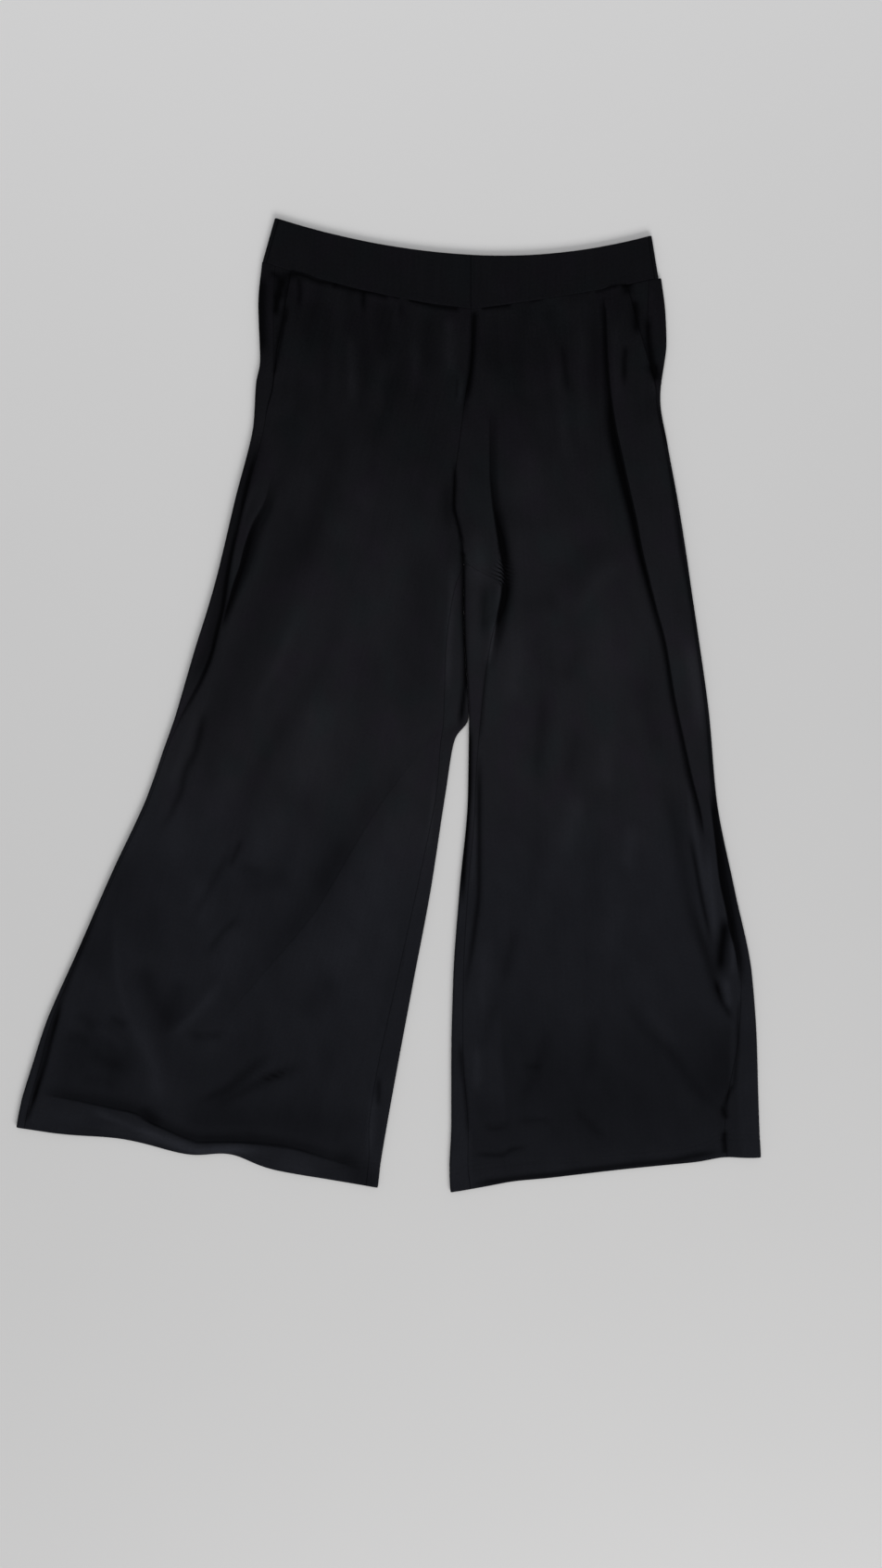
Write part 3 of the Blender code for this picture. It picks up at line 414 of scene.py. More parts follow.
    ([(184, 120), (212, 160), (248, 180)], 18, 0.8, 0.2),
    ([(140, 108), (164, 110), (188, 114)], 13, 0.5, 0.18),
    ([(194, 92), (232, 142), (264, 160)], 10, -0.8, -0.2),
    ([(137, 100), (136, 45), (132, -10)], 12, -1, -0.28),
    ([(170, 40), (163, -30), (158, -100)], 7, 0.8, 0.26, 0.35, 0.35),
    ([(208, 70), (200, 48), (188, 20)], 9, 0.6, 0.18, 0.35, 0.35),
    ([(204, -20), (197, -60), (190, -96)], 8, 0.6, 0.2, 0.35, 0.35),
    ([(235, -30), (232, -65), (228, -96)], 11, -1, -0.28, 0.35, 0.35),
    ([(184, 60), (186, 0), (180, -70)], 9, -0.7, -0.12, 0.35, 0.35),
    ([(322, 80), (330, 24), (338, -40)], 7, -0.4, -0.5, 0.3, 0.35),
    ([(270, 60), (280, 0), (292, -70)], 13, 0.6, 0.16),
    ([(220, 120), (230, 60), (240, 0)], 16, -0.6, -0.1, 0.35, 0.35),
    # left shin
    ([(202, -90), (198, -120), (188, -170)], 10, -0.8, -0.3, 0.3, 0.35),
    ([(260, -120), (259, -152), (255, -184)], 8, -0.8, -0.28, 0.35, 0.35),
    ([(164, -100), (158, -160), (150, -230)], 10, 0.6, 0.14, 0.35, 0.35),
    ([(226, -120), (220, -180), (222, -240)], 12, 0.6, 0.12, 0.35, 0.35),
    ([(242, -200), (240, -240), (235, -276)], 9, -0.5, -0.14, 0.35, 0.35),
    ([(319, -66), (324, -107), (331, -147), (338, -187), (344, -224)], 3.6, -1.3, -0.4),
    ([(296, -70), (304, -110), (312, -150), (322, -200), (332, -236)], 9, 1, 0.3),
    ([(318, -190), (324, -214), (334, -246), (343, -273), (351, -300), (360, -321), (370, -338)],
      6, 1.3, 0.52, 0.35, 0.25),
    ([(322, -130), (330, -170), (338, -214), (344, -241), (348, -268)], 2.8, 1, 0.7),
    ([(340, -140), (345, -190), (351, -240), (354, -266)], 4.5, -1.1, -0.5),
    ([(362, -224), (360, -248), (358, -270), (357, -298)], 6.5, 1.2, 1, 0.25),
    ([(367, -246), (369, -272), (369, -296)], 3, -1.2, -0.4, 0.35, 0.35),
    ([(362, -292), (364, -310), (367, -330)], 4.5, -0.8, -0.6),
    ([(350, -290), (358, -318), (374, -344)], 3, 0.8, 0.5),
    ([(244, -300), (264, -333), (284, -358), (303, -374), (316, -392), (330, -413), (346, -427),
      (364, -444)], 7, 0.8, 0.17, 0.2, 0.2),
    ([(270, -316), (296, -348), (324, -376)], 8, -0.6, -0.14),
    ([(137, -236), (129, -274), (119, -310)], 6, 0.6, 0.26, 0.3, 0.35),
    ([(220, -324), (218, -365), (213, -410)], 8, 0.6, 0.14),
    ([(172, -340), (160, -390), (136, -436)], 8, 0.6, 0.16),
    ([(370, -330), (360, -380), (342, -430)], 24, 0.4, 0.22, 0.25),
    ([(380, -312), (376, -337), (376, -364), (374, -388), (372, -416)], 2.4, 0.2, 0.45, 0.2, 0.1),
    ([(372, -408), (366, -420), (361, -434)], 2.2, 0.3, 0.5, 0.2, 0.1),
    ([(360, -430), (361, -440), (366, -448)], 3.6, 0.3, 0.6),
    ([(363, -456), (361, -468), (362, -484)], 3.4, 0.3, 0.7, 0.3, 0.05),
    # left hem
    ([(138, -388), (153, -390), (168, -389)], 3.2, 0.6, 0.22, 0.35, 0.35),
    ([(99, -454), (114, -456), (132, -451)], 3, 0.7, 0.3),
    ([(132, -449), (158, -447), (180, -451)], 3, 0.5, 0.2),
    ([(88, -484), (119, -485), (133, -479), (153, -476)], 3.2, 0.7, 0.34, 0.25),
    ([(198, -434), (215, -451), (234, -470)], 5, 0.7, 0.2),
    ([(76, -358), (79, -395), (82, -418), (84, -441), (85, -470)], 2.8, 0.3, 0.55, 0.2, 0.2),
    ([(94, -360), (94, -390), (94, -420)], 5, -1, -0.36),
    ([(83, -520), (113, -514), (146, -510), (181, -506), (211, -502), (252, -497), (280, -494), (303, -492),
      (332, -486), (362, -481)], 3.6, 0, 0.6, 0.1, 0.1),
    ([(120, -390), (160, -388), (240, -394), (310, -388), (370, -388)], 54, 0, 0.26, 0.02, 0.02),
    ([(85, -464), (180, -462), (280, -452), (380, -446)], 46, 0, 0.22, 0.02, 0.02),
    ([(120, -308), (107, -344), (94, -386)], 6, 0.4, 0.16),
)]

# Gathers that hang from the waist seam. x: where on the seam. drift: how far its foot lies
# from there, across. rise: how high it stands, or how deep it lies where that is negative.
Gather = namedtuple("Gather", "x length drift rise width")
GATHERS = [Gather(*row) for row in (
    (-88, 120, -10, 0.45, 6), (-74, 90, -6, -0.4, 5), (-56, 160, -14, 0.5, 8), (-40, 130, -4, -0.5, 6),
    (-28, 60, 1, -0.9, 3.5), (-19, 150, -10, 0.6, 6), (-4, 170, -8, -0.5, 7), (8, 190, -14, 0.6, 7),
    (15, 52, 0, -0.9, 3.5), (30, 120, -8, 0.5, 6), (44, 90, -6, -0.5, 5), (112, 110, 6, -0.5, 5),
    (126, 150, 10, 0.5, 7), (143, 80, 6, -0.45, 5), (158, 170, 12, 0.55, 7), (172, 210, 16, -0.5, 6),
    (184, 240, 14, 0.6, 6), (203, 260, 16, 0.5, 8), (219, 120, 10, -0.45, 6),
)]
GATHER_ROOT = 5.0  # how far below the seam a gather is at its fullest
GATHER_BEND = 0.4  # the share of its drift that a gather has halfway down
GATHER_PAINTED_SHADING = 0.16  # painted highlight: how much lighter a ridge 1 mm high is made, and a groove as much darker, as painted shade

# The front swells a little below the waist seam and at the seam itself it is drawn in.
WAIST_SWELL = 1.3
WAIST_SWELL_REACH = 24.0
SEAM_DRAW = 0.15
SEAM_DRAW_REACH = 2.2
SEAM_ON_EDGE = 8.0  # an inseam nearer the edge than this isn't drawn in
SEAM_TOUCH = 12.0  # and one nearer than this lets the legs' round edges touch

# Unevenness of the cloth as a whole. across, down: wavelengths. turn: a shift along the wave.
Swell = namedtuple("Swell", "across down turn rise")
SWELLS = [
    Swell(150, -310, 0.4, 0.34),
    Swell(-95, 240, 2.1, 0.22),
    Swell(64, 170, 4.0, 0.15),
    Swell(46, -120, 1.3, 0.10),
    Swell(-31, 88, 5.2, 0.06),
    Swell(23, 140, 3.1, 0.045),
]
WANDER, WANDER_ACROSS, WANDER_DOWN = 0.8, 83, 61  # how the waves bend, and over what distances

# Wrinkles of the underside, lifted off what it lies on.
UNDER_CREASES = [Crease(*row) for row in (
    ([(84, 430), (82, 330), (76, 230)], 3, -0.35, 0, 0.1, 0.4),
    ([(-60, 440), (-66, 350), (-80, 270)], 5, -0.7, 0, 0.2, 0.6),
    ([(0, 430), (-8, 360), (-30, 250)], 6, -0.6, 0, 0.2, 0.6),
    ([(150, 430), (160, 330), (168, 240)], 6, -0.7, 0, 0.2, 0.6),
    ([(230, 430), (236, 340), (262, 230)], 5, -0.6, 0, 0.2, 0.6),
    ([(60, 120), (-20, 60), (-130, 20)], 9, -0.9, 0, 0.4, 0.5),
    ([(50, 60), (-60, -30), (-180, -80)], 10, -0.8, 0, 0.4, 0.5),
    ([(30, -120), (-90, -220), (-220, -290)], 9, -0.9, 0, 0.4, 0.5),
    ([(-40, -260), (-140, -340), (-260, -380)], 8, -0.7, 0, 0.4, 0.5),
    ([(-180, -420), (-120, -440), (-60, -470)], 6, -0.6, 0, 0.4, 0.4),
    ([(110, 110), (200, 60), (300, 20)], 9, -0.9, 0, 0.4, 0.5),
    ([(110, 40), (190, -50), (310, -110)], 10, -0.8, 0, 0.4, 0.5),
    ([(100, -160), (210, -240), (350, -280)], 9, -0.8, 0, 0.4, 0.5),
    ([(110, -320), (200, -380), (330, -420)], 7, -0.7, 0, 0.4, 0.5),
    ([(250, -60), (270, -180), (262, -300)], 6, -0.6, 0, 0.4, 0.5),
)]

# The waistband's corners: its top edge and its seam, at the right side, centre and left side.
BAND_TOP = {"right": (-123, 524), "centre": (88, 484), "left": (283, 505)}
BAND_FOOT = {"right": (-136.5, 476.3), "centre": (88, 425.3), "left": (290.5, 458.3)}
BAND_TOP_BOW = {"right": 7, "left": 8}
BAND_FOOT_BOW = {"right": 6, "left": 2}

# Stitches of the hem: two rows of thread, drawn into the cloth.
STITCH_ROWS = (21.0, 26.0)  # above the hem's edge
STITCH_PITCH = 3.1
STITCH_LENGTH = 2.5
THREAD = 0.36
STITCH_SINK = 0.07
STITCH_SIDES = 4
# The rings of a stitch: where along it, how thick, and how far up. Both are in half threads.
STITCH_RINGS = np.array([(0.0, 0.4, -0.6), (0.2, 1.0, 0.1), (0.8, 1.0, 0.1), (1.0, 0.4, -0.6)])
STITCH_MARGIN = 0.5  # the rows of stitches end this far from a panel's side edge
CHANNEL_DEPTH = 0.22  # of the groove that a row of stitches draws
CHANNEL_WIDTH = 1.3


def smooth_rows(rows, at):
    """A table's columns at fractional row numbers, on a curve that never overshoots a row."""
    table = np.array(rows, float)
    step = np.diff(table, axis=0)
    slope = np.zeros_like(table)
    before, after = step[:-1], step[1:]
    same_way = before * after > 0
    total = np.where(same_way, before + after, 1.0)
    slope[1:-1] = np.where(same_way, 2 * before * after / total, 0.0)
    slope[0], slope[-1] = step[0], step[-1]
    row = np.clip(np.floor(at).astype(int), 0, len(table) - 2)
    s = (at - row)[:, None]
    start, end = table[row], table[row + 1]
    return (
        start * (1 + 2 * s) * (1 - s) ** 2
        + slope[row] * s * (1 - s) ** 2
        + end * s**2 * (3 - 2 * s)
        + slope[row + 1] * s**2 * (s - 1)
    )


def ease(s):
    """0 below 0 and 1 above 1, with a smooth step between."""
    s = np.clip(s, 0, 1)
    return s * s * (3 - 2 * s)


def bump(s):
    """1 at 0, falling away smoothly on both sides."""
    return np.exp(-(s**2))


def arch(s):
    """0 at 0 and at 1, and 1 halfway between them."""
    return 4 * s * (1 - s)


def run_of(steps):
    """Distances along a line from its start, over these steps."""
    return np.concatenate([[0], np.cumsum(np.linalg.norm(steps, axis=1))])


def smooth_path(points, steps=6):
    """Points along a smooth curve through the given ones."""
    at = np.linspace(0, len(points) - 1, steps * (len(points) - 1) + 1)
    return smooth_rows(points, at)


def off_path(x, y, places):
    """Distances from a path, positive to its left, shares of the way along it, and its direction.

    Last come the places' values after x and y, if they have more, at the nearest point of the path.
    """
    line = smooth_path(places)
    spots = line[:, :2]
    along = run_of(np.diff(spots, axis=0))
    best = np.full(x.shape, np.inf)
    side, share = np.ones(x.shape), np.zeros(x.shape)
    way_x, way_y = np.zeros(x.shape), np.zeros(x.shape)
    for start, end, done, total in zip(spots[:-1], spots[1:], along[:-1], along[1:]):
        run = end - start
        length = math.hypot(*run)
        s = np.clip(((x - start[0]) * run[0] + (y - start[1]) * run[1]) / length**2, 0, 1)
        away = np.hypot(x - start[0] - s * run[0], y - start[1] - s * run[1])
        turn = run[0] * (y - start[1]) - run[1] * (x - start[0])
        nearer = away < best
        best = np.where(nearer, away, best)
        side = np.where(nearer, np.where(turn < 0, -1, 1), side)
        share = np.where(nearer, (done + s * (total - done)) / along[-1], share)
        way_x = np.where(nearer, run[0] / length, way_x)
        way_y = np.where(nearer, run[1] / length, way_y)
    values = [np.interp(share, along / along[-1], column) for column in line[:, 2:].T]
    return best * side, share, way_x, way_y, values


def near_path(x, y, path, reach):
    """Which of these places lie in the box round a path."""
    low, high = np.min(path, axis=0)[:2] - reach, np.max(path, axis=0)[:2] + reach
    return (x > low[0]) & (x < high[0]) & (y > low[1]) & (y < high[1])


def fade(share, starts, ends):
    """How far a crease has grown at this share of its way."""
    return ease(share / starts) * ease((1 - share) / ends)


def gather_ridges():
    """The gathers as creases that start at the waist seam."""
    made = []
    for g in GATHERS:
        half = "right" if g.x < BAND_FOOT["centre"][0] else "left"
        side, centre = BAND_FOOT[half], BAND_FOOT["centre"]
        share = (g.x - side[0]) / (centre[0] - side[0])
        top = side[1] + share * (centre[1] - side[1]) - GATHER_ROOT
        halfway = (g.x + GATHER_BEND * g.drift, top - g.length / 2)
        path = [(g.x, top), halfway, (g.x + g.drift, top - g.length)]
        # each gather's ridge gets a painted highlight and its groove painted shade
        made.append(Crease(path, g.width, -g.rise, -GATHER_PAINTED_SHADING * g.rise, starts=0.02, ends=0.9))
    return made


def crease_relief(x, y, creases):
    """How far creases lift the cloth, and the painted shade and highlight they put into its colour there."""
    rise, dark = np.zeros(x.shape), np.zeros(x.shape)
    for crease in creases:
        near = near_path(x, y, crease.path, BUMP_REACH * crease.width)
        away, share = off_path(x[near], y[near], crease.path)[:2]
        grown = bump(away / crease.width) * fade(share, crease.starts, crease.ends)
        rise[near] -= crease.depth * grown
        dark[near] += crease.dark * grown
    return rise, dark


def relief(x, y):
    """How far the folds lift the front layer and shift it sideways, and the shade and highlights they paint
    into its colour.
    """
    rise, dark = crease_relief(x, y, CREASES + gather_ridges())
    shift_x, shift_y = np.zeros(x.shape), np.zeros(x.shape)
    for fold in FOLDS:
        near = near_path(x, y, fold.path, BUMP_REACH * fold.soft)
        away, _, way_x, way_y, (crest, width, groove_painted_shade) = off_path(x[near], y[near], fold.path)
        away = away * fold.side
        lip = ease((away + LIP_FOOT) / LIP_RUN)
        standing = crest * lip * bump(np.maximum(away + LIP_FOOT - LIP_RUN, 0) / fold.soft)
        groove = bump((away + width / 2) / (width / 2)) * np.minimum(crest / FULL_CREST, 1)
        shoulder = bump((away + width + SHOULDER_OFF) / SHOULDER_WIDTH)
        rise[near] += standing - GROOVE * groove + SHOULDER * crest * shoulder
        lean = fold.side * LEAN * standing
        shift_x[near] += lean * way_y
        shift_y[near] -= lean * way_x
        # painted shade in the groove under the lip
        outer = bump(np.maximum(-away - SHADE_BREADTH * width, 0) / (SHADE_FADE * width + 1))
        dark[near] += groove_painted_shade * ease((LIP_SHADE - away) / LIP_SHADE_RUN) * outer
    for swell in SWELLS:
        wander = WANDER * np.sin(x / WANDER_ACROSS + y / WANDER_DOWN + swell.turn)
        wave = 2 * math.pi * (x / swell.across + y / swell.down) + swell.turn + wander
        rise += swell.rise * np.sin(wave)
    return rise, shift_x, shift_y, np.clip(dark, PALEST, DARKEST)


def column_weight(x, y):
    """How close together the columns of a front are at these places."""
    weight = np.ones(x.shape)
    for fold in FOLDS:
        near = near_path(x, y, fold.path, COLUMN_REACH)
        away = off_path(x[near], y[near], fold.path)[0] * fold.side
        weight[near] += FOLD_COLUMNS * bump((away + FOLD_ASIDE) / FOLD_BREADTH)
    for crease in CREASES:
        if crease.width < NARROW:
            breadth = 2 * crease.width
            near = near_path(x, y, crease.path, BUMP_REACH * breadth)
            away = off_path(x[near], y[near], crease.path)[0]
            weight[near] += CREASE_COLUMNS * bump(away / breadth)
    return weight


def touching(inner_x, inner_y):
    """The right leg's inner edge, on the left leg's one wherever the two touch."""
    edge = Section(*smooth_rows(LEGS["left"], np.linspace(CROTCH, TOUCH_ENDS, EDGE_SAMPLES)).T)
    beside = np.interp(-inner_y, -edge.inner_y, edge.inner_x)
    touches = (inner_y < edge.inner_y[0]) & (inner_y > edge.inner_y[-1])
    return np.where(touches, beside, inner_x)


class Leg:
    """A leg's rings at the given sections. Every value is a column, one row for each section."""

    def __init__(self, side, at):
        self.side = side
        self.at = at[:, None]
        rows = LEGS[side]
        s = Section(*smooth_rows(rows, at).T[:, :, None])
        if side == "right":
            s = s._replace(inner_x=touching(s.inner_x, s.inner_y))
        self.section = s
        self.across = np.hypot(s.inner_x - s.outer_x, s.inner_y - s.outer_y)
        self.closed = ease((self.at - CROTCH + CROTCH_LEAD) / CROTCH_LEAD)
        reach = np.sin(self.closed * math.pi / 2)
        self.first = SURFACE_OFF
        on_edge = 1 - ease(s.inseam / SEAM_TOUCH)
        beyond = self.closed * on_edge * CLOTH / 2  # a seam's round edges touch their neighbour's
        self.last = self.across + (1 - reach) * s.inner_roll - reach * (SURFACE_OFF + LEG_GAP) + beyond
        self.outer_turn = s.outer_roll * math.pi / 2
        self.inner_turn = s.inner_roll * math.pi / 2
        flat = self.last - self.first - s.outer_roll - s.inner_roll
        self.half_round = self.outer_turn + flat + self.inner_turn
        self.to_end = len(rows) - 1 - self.at
        self.hemmed = ease((1 - self.to_end) / HEM_GROWS)

    def round_edge(self, inset, roll, turn):
        """The distance round the ring, from an edge's outermost line, to a line that far in on top."""
        over = roll + SURFACE_OFF
        return turn * np.minimum(inset / over, 1) + np.maximum(inset - over, 0)

    def side_seam(self):
        s = self.section
        return self.round_edge(s.side_seam, s.outer_roll, self.outer_turn)

    def pocket_edge(self):
        s = self.section
        return self.round_edge(s.pocket_edge, s.outer_roll, self.outer_turn)

    def inner_ends(self):
        """Where the front panel ends and the back panel starts, at the leg's inner edge."""
        s = self.section
        inseam = self.round_edge(s.inseam, s.inner_roll, self.inner_turn)
        apart = self.inner_turn * (1 - self.closed)
        return self.half_round - apart - inseam, self.half_round + apart - inseam

    def plan(self, across):
        """Places seen from above, at distances across the section from its outer edge."""
        s = self.section
        share = across / self.across
        waves = sum(wave.rise * bump((share - wave.at) / wave.width) for wave in HEM_WAVES[self.side])
        up = waves * ease(1 - self.to_end / HEM_WAVE_REACH) - s.bow * arch(np.clip(share, 0, 1))
        x = s.outer_x + share * (s.inner_x - s.outer_x)
        y = s.outer_y + share * (s.inner_y - s.outer_y) + up
        return x, y

    def edge_pulls(self, across, reach):
        """How strongly each rolled edge acts, from 1 beside it to 0 a reach away from it."""
        s = self.section
        outer = 1 - ease((across - self.first - s.outer_roll) / reach)
        inner = 1 - ease((self.last - s.inner_roll - across) / reach)
        return outer, self.closed * inner

    def top_layer(self, x, y, across, below_waist):
        """Heights of the front layer's middle, how far its folds shift it, and the shade and highlights
        painted into its colour.
        """
        s = self.section
        outer, inner = self.edge_pulls(across, EDGE_REACH)
        edges = outer * (SURFACE_OFF + 2 * s.outer_roll - REST_HEIGHT)
        edges = edges + inner * (SURFACE_OFF + 2 * s.inner_roll - REST_HEIGHT)
        outer, inner = self.edge_pulls(across, FOLD_FADE)
        free = (1 - outer) * (1 - inner)
        rise, shift_x, shift_y, dark = relief(x, y)
        swell = WAIST_SWELL * bump(below_waist / WAIST_SWELL_REACH)
        height = REST_HEIGHT + edges + free * (rise + swell)
        lowest = LOWEST + self.hemmed * HEM_RISE + self.under_lift(x, y, across)
        height = lowest + PRESS * np.logaddexp(0, (height - lowest) / PRESS)
        return height, free * shift_x, free * shift_y, dark

    def under_lift(self, x, y, across):
        """How far the wrinkles of the underside lift it."""
        outer, inner = self.edge_pulls(across, UNDER_FADE)
        return (1 - outer) * (1 - inner) * np.maximum(crease_relief(x, y, UNDER_CREASES)[0], 0)

    def ring(self, round_at, lift=0.0):
        """Points of the cloth's middle, at distances round the ring from the outer edge."""
        s = self.section
        half = self.half_round
        r = np.mod(round_at, 2 * half)
        under = r > half
        mirrored = np.where(under, 2 * half - r, r)
        outer_angle = np.clip(mirrored / s.outer_roll, 0, math.pi / 2)
        inner_angle = np.clip((half - mirrored) / s.inner_roll, 0, math.pi / 2)
        in_outer = mirrored < self.outer_turn
        in_inner = mirrored > half - self.inner_turn
        across = self.first + s.outer_roll + mirrored - self.outer_turn
        across = np.where(in_outer, self.first + s.outer_roll * (1 - np.cos(outer_angle)), across)
        across = np.where(in_inner, self.last - s.inner_roll * (1 - np.cos(inner_angle)), across)
        x, y = self.plan(across)
        seam_x, seam_y = Leg(self.side, np.zeros(1)).plan(across)
        below_waist = np.hypot(x - seam_x, y - seam_y)
        roll = np.where(in_outer, s.outer_roll, s.inner_roll)
        angle = np.where(in_outer, outer_angle, inner_angle)
        turned = SURFACE_OFF + roll * (1 + np.where(under, -1, 1) * np.sin(angle))
        top, shift_x, shift_y, dark = self.top_layer(x, y, across, below_waist)
        bottom = SURFACE_OFF + self.under_lift(x, y, across)
        rolled = in_outer | in_inner
        # painted shade on the rolled edges, darkest where the cloth turns straight down
        dark = np.minimum(dark + rolled * ROLL_PAINTED_SHADE * (1 - np.sin(angle)), 1)
        z = np.where(rolled, turned + np.where(under, 0, lift), np.where(under, bottom, top + lift))
        flat_top = ~(rolled | under)
        x, y = x + flat_top * shift_x, y + flat_top * shift_y
        return np.stack([x, y, z], axis=-1), np.where(under, 0, dark)

    def cut(self, round_at, from_back):
        """The same places on the flat cut, turned so that the knit's ribs run along +V, in metres."""
        s = self.section
        r = 2 * self.half_round - round_at if from_back else round_at
        across = self.first + s.outer_roll + r - self.outer_turn
        x, y = self.plan(across)
        turn = math.radians(GRAIN[self.side])
        u = x * math.cos(turn) + y * math.sin(turn)
        v = y * math.cos(turn) - x * math.sin(turn)
        return np.stack([u, v], axis=-1) * MM


def spread(total, step, zone=0.0, zone_step=1.0):
    """Distances from 0 to total, close together at both ends and, over a zone, at the far end."""
    border = np.array(BORDER)
    stop = total - max(zone, border[-1])
    middle = np.linspace(border[-1], stop, round((stop - border[-1]) / step) + 1)
    tail = total - border[::-1]
    if zone > border[-1]:
        inner = np.linspace(stop, tail[0], round((tail[0] - stop) / zone_step) + 1)
        middle = np.concatenate([middle, inner[1:]])
    return np.concatenate([border[:-1], middle, tail[1:]])


def fine_rows(side):
    """Section numbers down a leg, evenly spaced on the cloth and closer together at its ends."""
    dense = np.linspace(0, len(LEGS[side]) - 1, ROW_SAMPLES)
    s = Section(*smooth_rows(LEGS[side], dense).T)
    middle = np.stack([s.outer_x + s.inner_x, s.outer_y + s.inner_y], axis=1) / 2
    run = run_of(np.diff(middle, axis=0))
    at = np.interp(spread(run[-1], STEP, HEM_ZONE, HEM_STEP), run, dense)
    return at - WAIST_TUCK * np.maximum(1 - at, 0)


def between(start, end, shares):
    """Distances round each ring from start to end, at shares of the way and in a border at each end."""
    border = np.array(BORDER)[None, :]
    low, high = start + border, end - border[:, ::-1]
    middle = low[:, -1:] + shares * (high[:, :1] - low[:, -1:])
    return np.hstack([low[:, :-1], middle, high[:, 1:]])


def even(count):
    """A row of evenly spaced shares of the way."""
    return np.linspace(0, 1, count + 1)[None, :]


def by_folds(leg, start, end):
    """Shares of the way from start to end, closer together at the folds."""
    share = even(COLUMN_SAMPLES)
    round_at = start + share * (end - start)
    across = leg.first + leg.section.outer_roll + round_at - leg.outer_turn
    weight = column_weight(*leg.plan(across))
    total = np.cumsum((weight[:, 1:] + weight[:, :-1]) / 2 * np.diff(share), axis=1)
    total = np.hstack([np.zeros((len(total), 1)), total])
    wanted = even(FRONT_COLUMNS)[0]
    shares = np.array([np.interp(wanted * row[-1], row, share[0]) for row in total])
    drift = COLUMN_DRIFT
    padded = np.pad(shares, ((drift, drift), (0, 0)), mode="edge")
    return np.mean([padded[i : i + len(shares)] for i in range(2 * drift + 1)], axis=0)


def back_columns(leg):
    """Distances round the ring, from the inseam or centre back under the leg to the side seam."""
    half, inner, outer = leg.half_round, leg.inner_turn, leg.outer_turn
    border = np.array(BORDER)[None, :]
    low = leg.inner_ends()[1] + SEAM_GAP / 2 + border
    high = 2 * half + leg.side_seam() - SEAM_GAP / 2 - border[:, ::-1]
    stations = [low[:, -1:], half - inner, half + inner, 2 * half - outer, 2 * half + outer, high[:, :1]]
    counts = (STRIP_COLUMNS, ROLL_COLUMNS, UNDER_COLUMNS, ROLL_COLUMNS, STRIP_COLUMNS)
    for i in (0, 1):
        stations[i + 1] = np.maximum(stations[i + 1], stations[i] + counts[i] * LEAST_COLUMN)
    for i in (4, 3):
        stations[i] = np.minimum(stations[i], stations[i + 1] - counts[i] * LEAST_COLUMN)
    runs = [
        start + np.arange(count) / count * (end - start)
        for start, end, count in zip(stations, stations[1:], counts)
    ]
    return np.hstack([low[:, :-1], *runs, high])


def pocket_lift(leg, round_at):
    """How far the front panel rides up over the pocket facing and gapes along the pocket's edge."""
    past_edge = round_at - leg.pocket_edge()
    inwards = 1 - ease((past_edge - POCKET_UNDERLAP) / POCKET_SLOPE)
    down = 1 - ease((leg.at - POCKET_END) / POCKET_CLOSES)
    mouth = np.sin(np.clip(leg.at / POCKET_FOOT, 0, 1) * math.pi) * bump(past_edge / MOUTH_WIDTH)
    return POCKET_LIFT * inwards * down + POCKET_GAPE[leg.side] * mouth


def grid_normals(points, turn):
    """Unit normals of a grid of points. turn is -1 where the grid runs the other way round."""
    normal = turn * np.cross(np.gradient(points, axis=0), np.gradient(points, axis=1))
    return normal / np.linalg.norm(normal, axis=-1, keepdims=True)


def run_along(points, axis):
    """Distances along a grid's lines from its first row or column."""
    step = np.linalg.norm(np.diff(points, axis=axis), axis=-1)
    lead = [(0, 0), (0, 0)]
    lead[axis] = (1, 0)
    return np.pad(np.cumsum(step, axis=axis), lead)


# The last field holds the shade and highlights painted into the cloth's colour.
Cloth = namedtuple("Cloth", "points normal cut border to_end thick dark")


def cloth_of(points, cut, thick, turn, dark):
    """A stretch of cloth with what its mesh and its sewing need."""
    down, across = run_along(points, 0), run_along(points, 1)
    to_end = down[-1:] - down
    ends = np.minimum(down, to_end)
    sides = np.minimum(across, across[:, -1:] - across)
    border = np.minimum(ends, sides)
    return Cloth(points, grid_normals(points, turn), cut, border, to_end, thick, dark)


def sunk(cloth, depth):
    """The cloth with its points moved inwards."""
    return cloth._replace(points=cloth.points - depth[..., None] * cloth.normal)


def leg_cloth(leg, round_at, lift=0.0, from_back=False):
    """A panel of a leg between these distances round its rings."""
    points, dark = leg.ring(round_at, lift)
    thick = CLOTH + leg.hemmed * (HEM_CLOTH - CLOTH) + 0 * round_at
    turn = 1 if leg.side == "right" else -1
    cloth = cloth_of(points, leg.cut(round_at, from_back), thick, turn, dark)
    channel = sum(bump((cloth.to_end - row) / CHANNEL_WIDTH) for row in STITCH_ROWS)
    drawn = SEAM_DRAW * bump(cloth.border / SEAM_DRAW_REACH)
    drawn = drawn * (1 - leg.closed * (1 - ease(leg.section.inseam / SEAM_ON_EDGE)))
    return sunk(cloth, CHANNEL_DEPTH * channel * (leg.to_end < STITCHED) + drawn)


def front_panel(side):
    leg = Leg(side, fine_rows(side))
    start, end = leg.pocket_edge() + SEAM_GAP / 2, leg.inner_ends()[0] - SEAM_GAP / 2
    round_at = between(start, end, by_folds(leg, start, end))
    return leg_cloth(leg, round_at, pocket_lift(leg, round_at))


def back_panel(side):
    leg = Leg(side, fine_rows(side))
    return leg_cloth(leg, back_columns(leg), from_back=True)


def pocket_facing(side):
    at = fine_rows(side)
    leg = Leg(side, at[at <= POCKET_END])
    start, end = leg.side_seam() + SEAM_GAP / 2, leg.pocket_edge() + POCKET_UNDERLAP
    return leg_cloth(leg, between(start, end, even(FACING_COLUMNS)))


